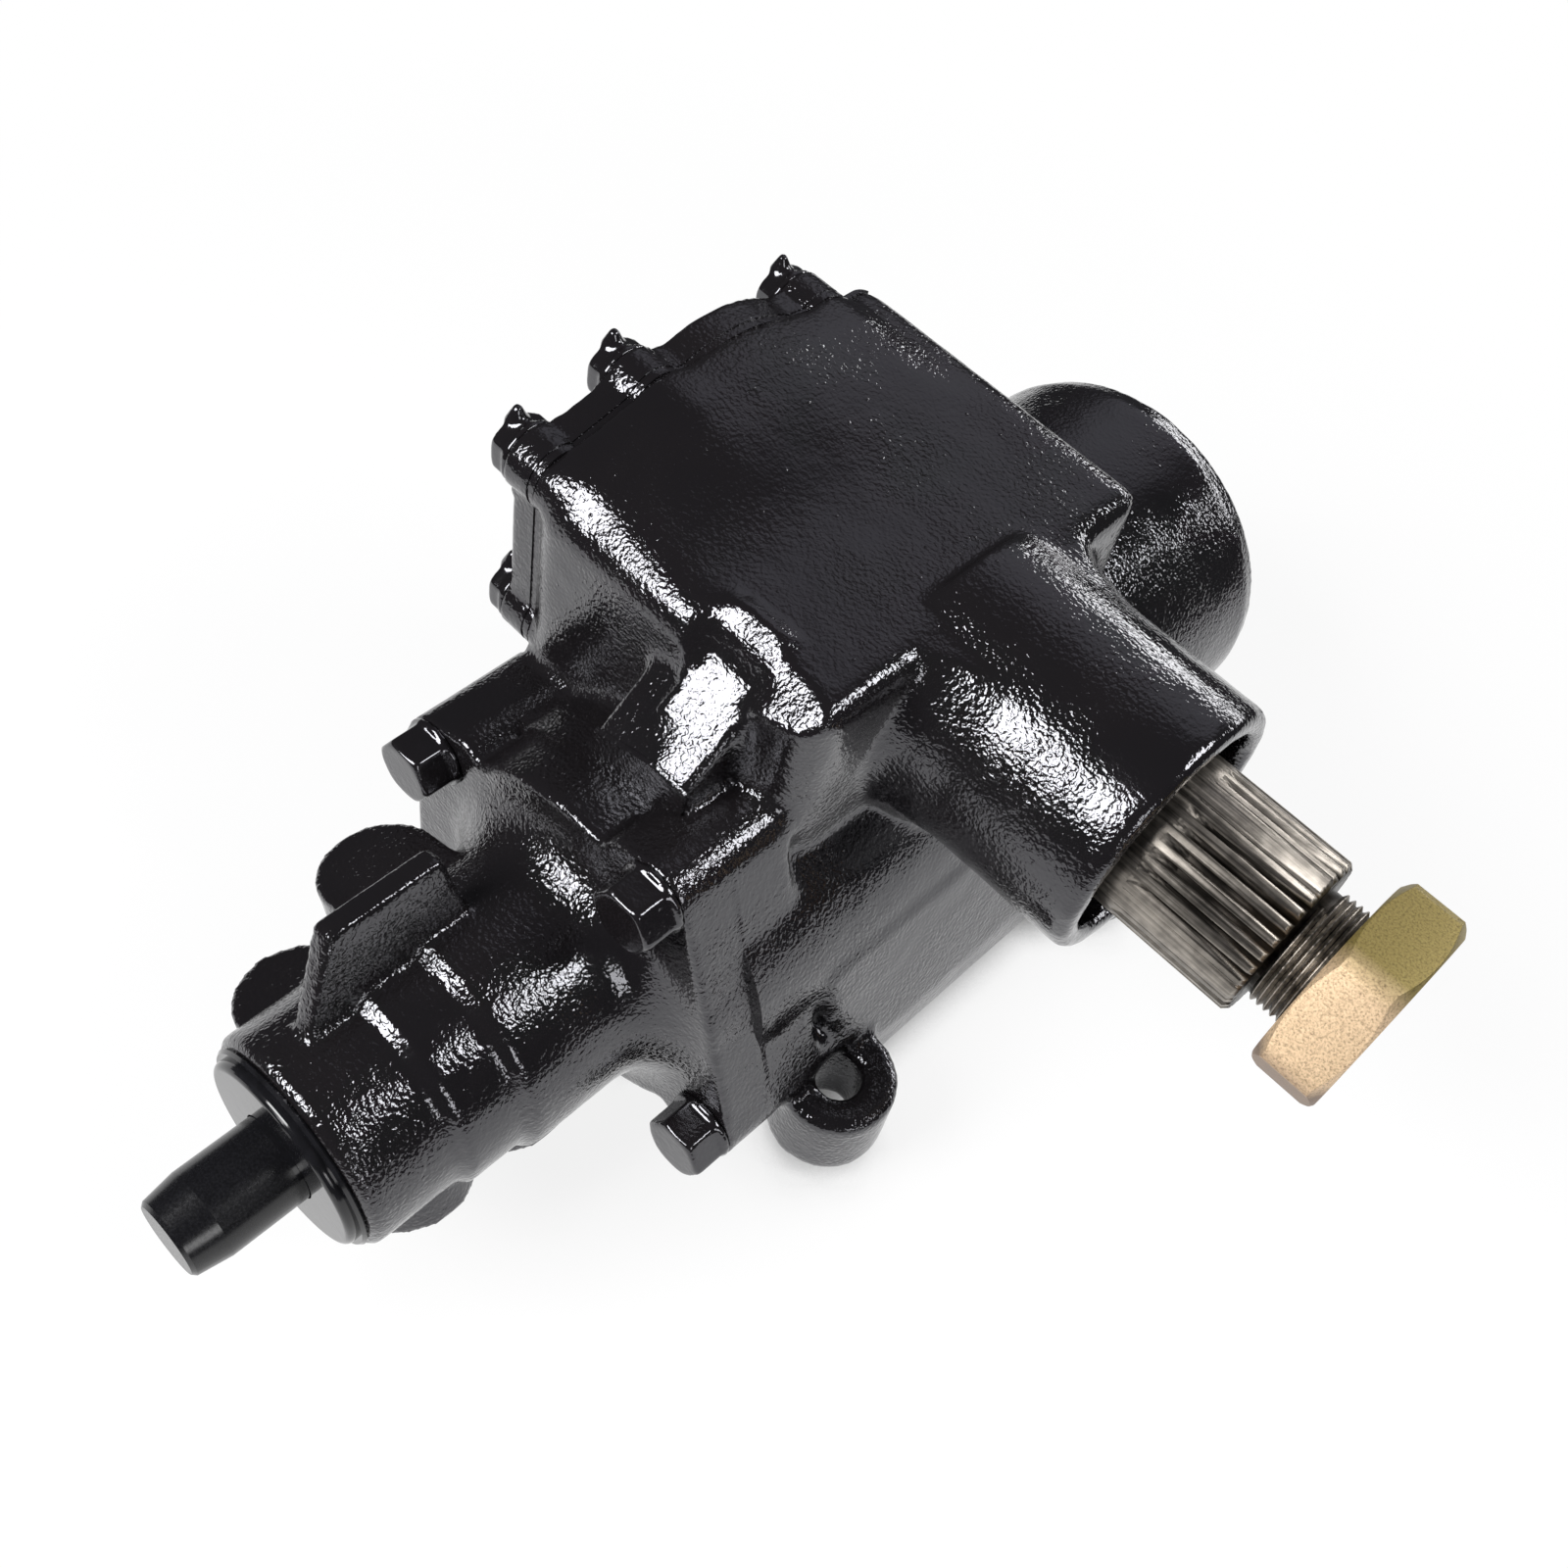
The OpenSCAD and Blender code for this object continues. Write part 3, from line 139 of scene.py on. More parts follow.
def start_material(name):
    """A new material, its tree, its Principled shader and the object coordinates."""
    material = bpy.data.materials.new(name)
    tree = empty_tree(material)
    shader = add(tree, "ShaderNodeBsdfPrincipled", {})
    add(tree, "ShaderNodeOutputMaterial", {"Surface": shader.outputs["BSDF"]})
    place = add(tree, "ShaderNodeTexCoord", {}).outputs["Object"]
    return material, tree, shader, place


def connect(tree, shader, colour, rough, normal):
    """Feeds the colour, the roughness and the normal of a Principled shader."""
    for name, socket in (("Base Color", colour), ("Roughness", rough), ("Normal", normal)):
        tree.links.new(socket, shader.inputs[name])


def ramp(tree, value, stops):
    """Colour ramp between (position, hex colour) stops."""
    node = add(tree, "ShaderNodeValToRGB", {"Fac": value})
    while len(node.color_ramp.elements) < len(stops):
        node.color_ramp.elements.new(0.5)
    for element, (position, code) in zip(node.color_ramp.elements, stops):
        element.position = position
        element.color = (*linear(code), 1)
    return node.outputs["Color"]


def spread(tree, value, span, onto=(0.0, 1.0), curve="LINEAR"):
    """Maps a span of values onto another one, and holds its ends beyond it."""
    node = add(tree, "ShaderNodeMapRange", {"Value": value, "From Min": span[0], "From Max": span[1],
                                            "To Min": onto[0], "To Max": onto[1]}, interpolation_type=curve)
    return node.outputs["Result"]


def multiply(tree, one, other):
    """Product of two values."""
    return add(tree, "ShaderNodeMath", {0: one, 1: other}, operation="MULTIPLY").outputs["Value"]


def mix(tree, factor, one, other, blend="MIX"):
    """Mix of two colours."""
    node = add(tree, "ShaderNodeMix", {"Factor": factor, "A": one, "B": other}, data_type="RGBA",
               blend_type=blend)
    return node.outputs["Result"]


def grain_scale(size_mm):
    """Scale of a pattern whose grains are about this wide."""
    return 1 / (size_mm * MM)


def grains(tree, place, size_mm, detail, **more):
    """Noise whose grains are about this wide."""
    node = add(tree, "ShaderNodeTexNoise", {"Vector": place, "Scale": grain_scale(size_mm), "Detail": detail,
                                            **more})
    return node.outputs["Fac"]


def bump(tree, height, depth_mm, strength=1.0, **more):
    """Normal of a surface with this relief."""
    node = add(tree, "ShaderNodeBump", {"Strength": strength, "Distance": depth_mm * MM, "Height": height,
                                        **more})
    return node.outputs["Normal"]


def seen_directly(tree):
    """1 for what the camera sees, also in a mirror or through glass, and 0 for light on matt surfaces."""
    path = add(tree, "ShaderNodeLightPath", {})
    seen = path.outputs["Is Camera Ray"]
    for ray in ("Is Glossy Ray", "Is Transmission Ray"):
        either = add(tree, "ShaderNodeMath", {0: seen, 1: path.outputs[ray]}, operation="MAXIMUM")
        seen = either.outputs["Value"]
    return seen


class GearboxShape(bpy.types.PropertyGroup):
    """Sizes of the painted forms."""
    casting_grid: bpy.props.FloatProperty(
        name="Casting grid", description="Spacing of the skin's points on the castings",
        default=1.3 * MM, unit="LENGTH", precision=5)
    fine_grid: bpy.props.FloatProperty(
        name="Fine grid", description="Spacing of the skin's points on the valve housing and the side cover",
        default=0.85 * MM, unit="LENGTH", precision=5)
    fillet: bpy.props.FloatProperty(
        name="Cast fillet", description="Radius of the blends in the inner corners of the gear housing",
        default=5.0 * MM, unit="LENGTH", precision=5)
    lip: bpy.props.FloatProperty(
        name="Ramp lip", description="Height by which the lip beside the ramp stands proud of it",
        default=3.0 * MM, unit="LENGTH", precision=5)
    front_round: bpy.props.FloatProperty(
        name="Front edge", description="Radius of the top plate's front edge",
        default=9.0 * MM, unit="LENGTH", precision=5)
    land: bpy.props.FloatProperty(
        name="Cover land", description="Width of the level land beside the side cover's joint",
        default=10.5 * MM, unit="LENGTH", precision=5)
    land_run: bpy.props.FloatProperty(
        name="Land run", description="Length over which the top plate climbs to the land",
        default=38.0 * MM, unit="LENGTH", precision=5)
    ridge: bpy.props.FloatProperty(
        name="Land step", description="Height of the soft step at the land's inner edge",
        default=0.7 * MM, unit="LENGTH", precision=5)
    small_fillet: bpy.props.FloatProperty(
        name="Small fillet", description="Radius of the blends on the valve housing and the side cover",
        default=2.2 * MM, unit="LENGTH", precision=5)
    rim: bpy.props.FloatProperty(
        name="Joint rim", description="Width of the sharp rim that each casting has beside its joint faces",
        default=1.3 * MM, unit="LENGTH", precision=5)
    wave: bpy.props.FloatProperty(
        name="Cast unevenness", description="Height of the slow waves of the sand-cast skin",
        default=0.09 * MM, unit="LENGTH", precision=6)
    bolt_grid: bpy.props.FloatProperty(
        name="Bolt grid", description="Spacing of the skin's points on the painted bolts",
        default=0.5 * MM, unit="LENGTH", precision=5)
    thread_pitch: bpy.props.FloatProperty(
        name="Thread pitch", description="Pitch of the nut thread on the sector shaft",
        default=1.6 * MM, unit="LENGTH", precision=5)
    thread_depth: bpy.props.FloatProperty(
        name="Thread depth", description="Depth of the nut thread on the sector shaft",
        default=0.9 * MM, unit="LENGTH", precision=5)
    drip: bpy.props.FloatProperty(
        name="Paint drip", description="Length of the paint drips on the cover bolts",
        default=3.4 * MM, unit="LENGTH", precision=5)
    edge: bpy.props.FloatProperty(
        name="Machined edge", description="Width of the broken edges of nut, cap and dust cover",
        default=0.35 * MM, unit="LENGTH", precision=5)


class GearboxFinish(bpy.types.PropertyGroup):
    """Colours of the finishes."""
    enamel: bpy.props.FloatVectorProperty(
        name="Enamel", description="Black gloss enamel of the castings", subtype="COLOR",
        default=linear("#131214"))
    # Painted highlight: the steel colour goes only on the crests of the spline and the thread
    steel: bpy.props.FloatVectorProperty(
        name="Bare steel", description="Lit crests of the machined sector shaft", subtype="COLOR",
        default=linear("#aaa39a"))
    zinc: bpy.props.FloatVectorProperty(
        name="Zinc yellow", description="Yellow passivated zinc of the nut", subtype="COLOR",
        default=linear("#d8b486"))


def enamel(name, colour, peel):
    """Gloss enamel, brushed on thick: a clear mirror gloss broken by orange peel, small pits and dust."""
    material, tree, shader, place = start_material(name)
    grain = grains(tree, place, 1.0, 1.5, Roughness=0.5, Distortion=0.25)
    slow = grains(tree, place, 7.0, 1.0)
    patch = grains(tree, place, 24.0, 2.0)
    nibs = add(tree, "ShaderNodeTexVoronoi", {"Vector": place, "Scale": grain_scale(4.5)})
    nib = spread(tree, nibs.outputs["Distance"], (0.0, 0.09), (1.0, 0.0))
    # The peel is strong in some patches and almost flat in others, as brushed paint flows
    share = spread(tree, patch, (0.35, 0.62), (0.35, 1.0))
    peeled = multiply(tree, grain, share)
    height = add(tree, "ShaderNodeMath", {0: nib, 1: 0.35, 2: peeled}, operation="MULTIPLY_ADD")
    fine = bump(tree, height.outputs["Value"], peel)
    wide = bump(tree, slow, 0.12, Normal=fine)
    gloss = spread(tree, slow, (0.3, 0.7), (0.05, 0.13))
    tint = mix(tree, patch, (*colour, 1), (*linear("#1a1718"), 1))
    connect(tree, shader, tint, gloss, wide)
    shader.inputs["IOR"].default_value = 1.75
    shader.inputs["Specular Tint"].default_value = (*linear("#f8f8ff"), 1)
    return material


def machined_steel(name, light, dark, groove, crest, along):
    """Turned and broached steel: crests in the light colour as a painted highlight, grooves in the dark
    colour as painted shade, and streaks along the cut.
    """
    material, tree, shader, place = start_material(name)
    across = Vector((1, 1, 1)) - Vector(along)
    flat = add(tree, "ShaderNodeVectorMath", {0: place, 1: across}, operation="MULTIPLY")
    radius = add(tree, "ShaderNodeVectorMath", {0: flat.outputs["Vector"]}, operation="LENGTH")
    # Painted light: farther from the axis the crests take the light colour as a painted highlight, and
    # nearer to it the grooves take the dark colour as painted shade
    crest_wear_and_highlight = spread(tree, radius.outputs["Value"], (groove * MM, crest * MM), curve="SMOOTHSTEP")
    stretch = Vector([0.02 if a else 1.0 for a in along])
    squeezed = add(tree, "ShaderNodeVectorMath", {0: place, 1: stretch}, operation="MULTIPLY")
    streak = grains(tree, squeezed.outputs["Vector"], 0.7, 3.0)
    spots = grains(tree, place, 3.0, 4.0)
    shade = mix(tree, crest_wear_and_highlight, (*linear(dark), 1), (*light, 1))
    dirt = spread(tree, spots, (0.35, 0.65), (0.6, 1.0))
    cut = spread(tree, streak, (0.3, 0.7), (0.5, 1.25))
    both = multiply(tree, dirt, cut)
    grey = add(tree, "ShaderNodeCombineColor", {"Red": both, "Green": both, "Blue": both})
    colour = mix(tree, 1.0, shade, grey.outputs["Color"], "MULTIPLY")
    rough = spread(tree, streak, (0.3, 0.7), (0.28, 0.5))
    connect(tree, shader, colour, rough, bump(tree, streak, 0.03, 0.6))
    shader.inputs["Metallic"].default_value = 1.0
    return material


def yellow_zinc(name, colour):
    """Zinc plate with a yellow chromate: sandy pale gold, with painted light on the flats, pale on the lit
    flat and olive and brown on the flats beside it, partly the chromate's own tint and partly painted shade.
    """
    material, tree, shader, place = start_material(name)
    # Real grain is about 0.1 mm; it is drawn at 0.5 mm so that it shows
    grain = grains(tree, place, 0.5, 3.0, Roughness=0.7)
    across = add(tree, "ShaderNodeSeparateXYZ", {"Vector": place})
    front = multiply(tree, across.outputs["Y"], -1.0)
    around = add(tree, "ShaderNodeMath", {0: across.outputs["Z"], 1: front}, operation="ARCTAN2")
    # Painted light: each flat of the hexagon, whose corners are at 0 and 60 degrees, has its own colour,
    # pale on the flat that faces the front and top as its painted lit face, and olive on one flat beside it
    # and brown on the other as painted shade with the chromate's own tint
    side = spread(tree, around.outputs["Value"], (math.radians(-60), math.radians(120)))
    lit_flats_and_tint = ramp(tree, side, [(0.29, "#80695a"), (0.37, "#ffe2bd"), (0.63, "#ffe2bd"), (0.72, "#8f8546")])
    toned = mix(tree, 0.15, lit_flats_and_tint, (*colour, 1))
    sand = ramp(tree, grain, [(0.3, "#8a8078"), (0.5, "#e8e4de"), (0.7, "#ffffff")])
    shade = mix(tree, 0.85, toned, sand, "MULTIPLY")
    rough = spread(tree, grain, (0.0, 1.0), (0.35, 0.6))
    connect(tree, shader, shade, rough, bump(tree, grain, 0.07, 0.8))
    # The film itself scatters more than half of the light
    shader.inputs["Metallic"].default_value = 0.4
    return material


def plain_surface(name, low, high, rough, metal, grain_mm, depth_mm):
    """Surface of one material with a fine grain: two close shades, a little uneven in gloss and level."""
    material, tree, shader, place = start_material(name)
    grain = grains(tree, place, grain_mm, 3.0)
    shade = ramp(tree, grain, [(0.35, low), (0.65, high)])
    gloss = spread(tree, grain, (0.3, 0.7), (rough * 0.8, rough * 1.2))
    connect(tree, shader, shade, gloss, bump(tree, grain, depth_mm))
    shader.inputs["Metallic"].default_value = metal
    return material


def merged_copy(node):
    """A bmesh of a CAD node with its loose triangles joined."""
    bm = bmesh.new()
    bm.from_mesh(NODES[node].data)
    bmesh.ops.remove_doubles(bm, verts=bm.verts, dist=2e-6)
    return bm


def piece_from(bm, name):
    """A new object from a bmesh, at the origin."""
    mesh = bpy.data.meshes.new(name)
    bm.to_mesh(mesh)
    bm.free()
    obj = bpy.data.objects.new(name, mesh)
    bpy.context.scene.collection.objects.link(obj)
    return obj


def apply_modifiers(obj):
    """Bakes the object's modifiers into its mesh."""
    bpy.context.view_layer.update()
    mesh = bpy.data.meshes.new_from_object(obj.evaluated_get(bpy.context.evaluated_depsgraph_get()))
    obj.modifiers.clear()
    obj.data = mesh


def on_voxels(obj, grid):
    """Remeshes the object on an even grid."""
    cells = obj.modifiers.new("grid", "REMESH")
    cells.mode = "VOXEL"
    cells.voxel_size = grid
    apply_modifiers(obj)


def dress(obj, node, material, body="housing"):
    """Gives a piece its material, smooth shading and body, and hides the CAD node it stands for."""
    obj.data.materials.clear()
    obj.data.materials.append(material)
    obj.data.shade_smooth()
    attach(obj, body)
    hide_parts(node)


def read_points(mesh):
    """Places of the mesh's points, one row each."""
    points = np.empty(len(mesh.vertices) * 3)
    mesh.vertices.foreach_get("co", points)
    return points.reshape(-1, 3)


def write_points(mesh, points):
    """Moves the mesh's points to these places."""
    mesh.vertices.foreach_set("co", points.ravel())
    mesh.update()


def links_of(mesh):
    """Both directions of every edge, and each point's number of neighbours."""
    pairs = np.empty(len(mesh.edges) * 2, np.int64)
    mesh.edges.foreach_get("vertices", pairs)
    pairs = pairs.reshape(-1, 2)
    pairs = np.concatenate([pairs, pairs[:, ::-1]])
    return pairs, np.bincount(pairs[:, 0], minlength=len(mesh.vertices))


def mean_of_neighbours(values, links):
    """Mean of each point's neighbours, row by row."""
    pairs, count = links
    sums = [np.bincount(pairs[:, 0], values[pairs[:, 1], k], len(count)) for k in range(values.shape[1])]
    return np.stack(sums, 1) / count[:, None]


def normals_of(mesh):
    """Normals at the mesh's points, one row each."""
    normals = np.empty(len(mesh.vertices) * 3)
    mesh.vertex_normals.foreach_get("vector", normals)
    return normals.reshape(-1, 3)


def grow_fillets(mesh, free, grid, radius):
    """Fills inner corners until they are no tighter than the radius; free is 0 where points stay."""
    links = links_of(mesh)
    limit = grid * grid / (4 * radius)
    points = read_points(mesh)
    for _ in range(FILLET_TURNS):
        normals = normals_of(mesh)
        rise = np.einsum("ij,ij->i", mean_of_neighbours(points, links) - points, normals)
        points += normals * (np.clip(rise - limit, 0, None) * FILLET_SHARE * free)[:, None]
        write_points(mesh, points)


def soften(mesh, free, turns):
    """Evens out the skin where it is free, which also rounds its outer edges."""
    links = links_of(mesh)
    points = read_points(mesh)
    for _ in range(turns):
        points += (mean_of_neighbours(points, links) - points) * (SOFTEN_SHARE * free)[:, None]
    write_points(mesh, points)


def tree_of(names):
    """Search tree over the surfaces of some CAD nodes."""
    points, faces = [], []
    for name in names:
        start = len(points)
        points += [v.co.copy() for v in NODES[name].data.vertices]
        faces += [[i + start for i in p.vertices] for p in NODES[name].data.polygons]
    return BVHTree.FromPolygons(points, faces)


def seat_freedom(mesh, node):
    """0 on surfaces that meet another node, 1 away from them."""
    others = tree_of([n for n in NODES if n != node])
    free = np.ones(len(mesh.vertices))
    for i, vertex in enumerate(mesh.vertices):
        distance = others.find_nearest(vertex.co, SEAT_FAR)[3]
        if distance is not None:
            free[i] = min(max((distance - SEAT_NEAR) / (SEAT_FAR - SEAT_NEAR), 0), 1)
    return free


def from_axis(points, axis):
    """Distance of points from the worm axis (y) or the sector shaft axis (x), in mm."""
    moved = points - np.array(WORM_AXIS) if axis == "y" else points
    return np.hypot(moved[:, 0 if axis == "y" else 1], moved[:, 2]) / MM


def inside_gear_housing(points):
    """The cylinder bore, the sector's room and the bores of the nose; sizes are in mm."""
    bore, bore_end = 36, 99.5
    room_end, shaft_room, teeth_room, room_top = -55, 23, 32.8, 11.7
    nose_start, nose_end, nose_bore = -55.5, -1, 27.5
    x, y, z = (points / MM).T
    worm = (from_axis(points, "y") < bore) & (y < bore_end)
    sector = from_axis(points, "x")
    room = (x < room_end) & ((sector < shaft_room) | ((sector < teeth_room) & (z < room_top)))
    nose = (x >= nose_start) & (x < nose_end) & (sector < nose_bore)
    return worm | room | nose


def inside_valve_housing(points):
    """The bores for the worm's bearing, the valve sleeve and the seal; sizes are in mm."""
    seal_bore, sleeve_bore, bearing_bore = 20, 28.2, 36
    sleeve_start, bearing_start = -81, -70.5
    y = points[:, 1] / MM
    worm = from_axis(points, "y")
    return ((worm < seal_bore) | ((worm < sleeve_bore) & (y > sleeve_start))
            | ((worm < bearing_bore) & (y > bearing_start)))


def inside_side_cover(points):
    """The spigot with the bush."""
    spigot, joint_gap = 23, 0.5 * MM
    return (from_axis(points, "x") < spigot) & (points[:, 0] > COVER_IN - joint_gap)


def smooth_step(value):
    """0 below 0, 1 above 1 and an even S between."""
    value = np.clip(value, 0, 1)
    return value * value * (3 - 2 * value)


def cover_crest():
    """Upper outline of the cover's joint with its hollows bridged, as rows of y and z."""
    crest = []
    for y, z in sorted((v.co.y, v.co.z) for v in NODES["gear_housing"].data.vertices
                       if abs(v.co.x - COVER_FACE) < 0.01 * MM):
        while len(crest) > 1 and ((crest[-1][0] - crest[-2][0]) * (z - crest[-2][1])
                                  >= (crest[-1][1] - crest[-2][1]) * (y - crest[-2][0])):
            crest.pop()
        crest.append((y, z))
    return np.array(crest).T


def round_front(points, shape):
    """Draws the top plate's front edge in to a larger round along x, and gives the points it moved."""
    ahead, height_run = 1.5 * MM, 6 * MM
    cover_gap, cover_run = 5 * MM, 12 * MM
    x, y, z = points.T
    down, inward = z - (PLATE - shape.front_round), y - (PLATE_FRONT + shape.front_round)
    out = np.hypot(down, inward)
    edge = (inward < 0) & (out > shape.front_round) & (y > PLATE_FRONT - ahead) & (x < PLATE_RIGHT)
    pull = np.where(edge, smooth_step(down / height_run) * (1 - shape.front_round / np.maximum(out, MM)), 0)
    pull *= smooth_step((x - COVER_FACE - cover_gap) / cover_run)
    points[:, 1] -= inward * pull
    points[:, 2] -= down * pull
    return edge


def carry_ramp(points, shape):
    """Carries the ramp's plane up through the front edge beside a lip, and gives the points it moved."""
    left_run, right_run, front_run = 8 * MM, 3 * MM, 6 * MM
    left_rise, lip_middle, lip_slope = 6 * MM, -62 * MM, 0.1
    knee, knee_run, knee_rise = -55.5 * MM, 5.5 * MM, 2.8 * MM
    fill = 3.5 * MM
    x, y, z = points.T
    left, right = smooth_step((x - RAMP_LEFT) / left_run), smooth_step((x - RAMP_RIGHT) / right_run)
    on_ramp = left * (1 - right)
    # The ramp is steeper from the knee on; to its right the cut is shallower and leaves the lip
    proud = (left_rise * (1 - left) + (shape.lip + lip_slope * (x - lip_middle)) * right
             + knee_rise * smooth_step((y - knee) / knee_run) * on_ramp)
    above = (points - np.array(RAMP)) @ np.array(RAMP_WAY) - proud
    near = (x > RAMP_LEFT) & (x < LIP_RIGHT) & (y > RAMP_FRONT) & (y < RAMP_BACK) & (z > RAMP_FOOT)
    # The top of the solid ramp lies a little under that plane and is filled up to it
    cut = near & (above > -fill * on_ramp)
    drop = np.where(cut, above * smooth_step((y - RAMP_FRONT) / front_run), 0)
    points -= np.array(RAMP_WAY) * drop[:, None]
    return cut


def lift_plate(points, normals, shape):
    """Lifts the plate to the crest of the cover's joint with a soft step, and gives each point's share."""
    step_run, wall_top = 5 * MM, 1 * MM
    least_up, up_run, least_right = 0.05, 0.5, 0.3
    x, y, z = points.T
    inland = x - COVER_FACE
    crest_y, crest_z = cover_crest()
    climb = np.interp(y, crest_y, crest_z, PLATE, PLATE) - PLATE - shape.ridge
    lift = (np.clip(climb, 0, None) * smooth_step(1 - (inland - shape.land) / shape.land_run)
            + shape.ridge * (climb > 0) * smooth_step(1 - (inland - shape.land) / step_run))
    top = (z > PLATE - shape.front_round) & (inland < shape.land + shape.land_run)
    share = np.where(top, smooth_step((normals[:, 2] - least_up) / up_run), 0)
    # The steep inner side of the bosses goes up with the plate
    share = np.where((normals[:, 0] > least_right) & (z > PLATE - wall_top) & top, 1, share)
    points[:, 2] = z + share * np.clip(np.minimum(z + lift, PLATE + lift) - z, 0, None)
    return share * (lift > 0)


def shape_plate(mesh, shape):
    """Rounds the top plate's front edge, carries the ramp up to it and lifts the plate to the side cover."""
    points, normals = read_points(mesh), normals_of(mesh)
    edge = round_front(points, shape)
    cut = carry_ramp(points, shape)
    lifted = lift_plate(points, normals, shape)
    write_points(mesh, points)
    soften(mesh, lifted, 14)
    soften(mesh, np.maximum(edge, cut).astype(float), 4)


def cut_off(bm, place, way, keep_outer):
    """Cuts a closed mesh by a plane, keeps one side and closes the cut with sharp edges."""
    cut = bmesh.ops.bisect_plane(bm, geom=bm.verts[:] + bm.edges[:] + bm.faces[:], dist=1e-7, plane_co=place,
                                 plane_no=way, clear_inner=keep_outer, clear_outer=not keep_outer)
    edges = [part for part in cut["geom_cut"] if isinstance(part, bmesh.types.BMEdge)]
    bmesh.ops.triangle_fill(bm, edges=edges, use_beauty=True, use_dissolve=False,
                            normal=-way if keep_outer else way)
    for edge in edges:
        edge.smooth = False


def sharp_rims(obj, node, band):
    """Puts the casting's own sharp rim beside its joint faces, where two castings meet in a hairline."""
    bm = bmesh.new()
    bm.from_mesh(obj.data)
    for place, way in JOINTS[node]:
        cut_off(bm, place - way * band, way, False)
        rim = merged_copy(node)
        cut_off(rim, place - way * band, way, True)
        for edge in rim.edges:
            if len(edge.link_faces) == 2 and edge.calc_face_angle() > RIM_ANGLE:
                edge.smooth = False
        mesh = bpy.data.meshes.new(node + "_rim")
        rim.to_mesh(mesh)
        rim.free()
        bm.from_mesh(mesh)
        bpy.data.meshes.remove(mesh)
    bm.to_mesh(obj.data)
    bm.free()


def wave_skin(mesh, free, height):
    """Slow waves of a sand-cast surface under thick paint."""
    long, short, short_share = 9 * MM, 4.2 * MM, 0.6
    points, normals = read_points(mesh), normals_of(mesh)
    rise = np.array([noise.noise(Vector(p) / long) + short_share * noise.noise(Vector(p) / short)
                     for p in points])
    points += normals * (rise * height * free)[:, None]
    write_points(mesh, points)


def put_back(mesh, node, hold):
    """Moves held points back on the CAD surface."""
    reach = 3 * MM
    surface = tree_of([node])
    points = read_points(mesh)
    for i in np.flatnonzero(hold > 0):
        found = surface.find_nearest(Vector(points[i]), reach)[0]
        if found is not None:
            points[i] += (np.array(found) - points[i]) * hold[i]
    write_points(mesh, points)


class GEARBOX_OT_castings(bpy.types.Operator):
    """Painted skins of the gear housing, the valve housing and the side cover"""
    bl_idname = "gearbox.castings"
    bl_label = "Castings"

    def execute(self, context):
        shape, finish = context.scene.gearbox_shape, context.scene.gearbox_finish
        paint = enamel("Gloss enamel on cast iron", finish.enamel, peel=0.34)
        for node, inside in (("gear_housing", inside_gear_housing), ("valve_housing", inside_valve_housing),
                             ("side_cover", inside_side_cover)):
            grid, radius = shape.fine_grid, shape.small_fillet
            if node == "gear_housing":
                grid, radius = shape.casting_grid, shape.fillet
            obj = piece_from(merged_copy(node), node + "_skin")
            on_voxels(obj, grid)
            mesh = obj.data
            if len(mesh.polygons) < FEWEST_FACES:
                raise RuntimeError(f"the skin of {node} came out empty")
            hidden = inside(read_points(mesh))
            free = seat_freedom(mesh, node)
            free[hidden] = 0
            grow_fillets(mesh, free, grid, radius)
            soften(mesh, free, 4)
            put_back(mesh, node, 1 - free)
            if node == "gear_housing":
                shape_plate(mesh, shape)
            wave_skin(mesh, free, shape.wave)
            sharp_rims(obj, node, shape.rim)
            dress(obj, node, paint)
        # The same paint covers the edge of the gasket
        NODES["side_cover_gasket"].data.materials.clear()
        NODES["side_cover_gasket"].data.materials.append(paint)
        return {"FINISHED"}


class GEARBOX_OT_bolts(bpy.types.Operator):
    """Painted bolts of the valve housing and the side cover"""
    bl_idname = "gearbox.bolts"
    bl_label = "Bolts"

    def execute(self, context):
        shape, finish = context.scene.gearbox_shape, context.scene.gearbox_finish
        paint = enamel("Gloss enamel on steel bolts", finish.enamel, peel=0.08)
        for node in ("valve_housing_bolts", "side_cover_bolts"):
            bm = merged_copy(node)
            if node == "side_cover_bolts":
                for place in self.head_tops(bm):
                    self.drip(bm, place, shape.drip)
            obj = piece_from(bm, node + "_painted")
            on_voxels(obj, shape.bolt_grid)
            soften(obj.data, np.ones(len(obj.data.vertices)), 3)
            dress(obj, node, paint)
        return {"FINISHED"}

    def head_tops(self, bm):
        """Highest point of each cover bolt's head, without its flange."""
        flange = 2.2 * MM
        left, tops = set(bm.verts), []
        while left:
            bolt, edge = set(), {left.pop()}
            while edge:
                bolt |= edge
                edge = {e.other_vert(v) for v in edge for e in v.link_edges} & left
                left -= edge
            head = [v.co for v in bolt if v.co.x < COVER_OUT - flange]
            tops.append(max(head, key=lambda co: co.z).copy())
        return tops

    def drip(self, bm, top, length):
        """Blunt drop where paint ran to the head's corner as the gear hung upside down to dry."""
        foot, tip, height = 0.85 * length, 0.24 * length, 1.3 * length
        inset = Vector((0.3 * MM, 0, 0))
        bmesh.ops.create_cone(bm, cap_ends=True, segments=24, radius1=foot, radius2=tip, depth=height,
                              matrix=Matrix.Translation(top + inset))


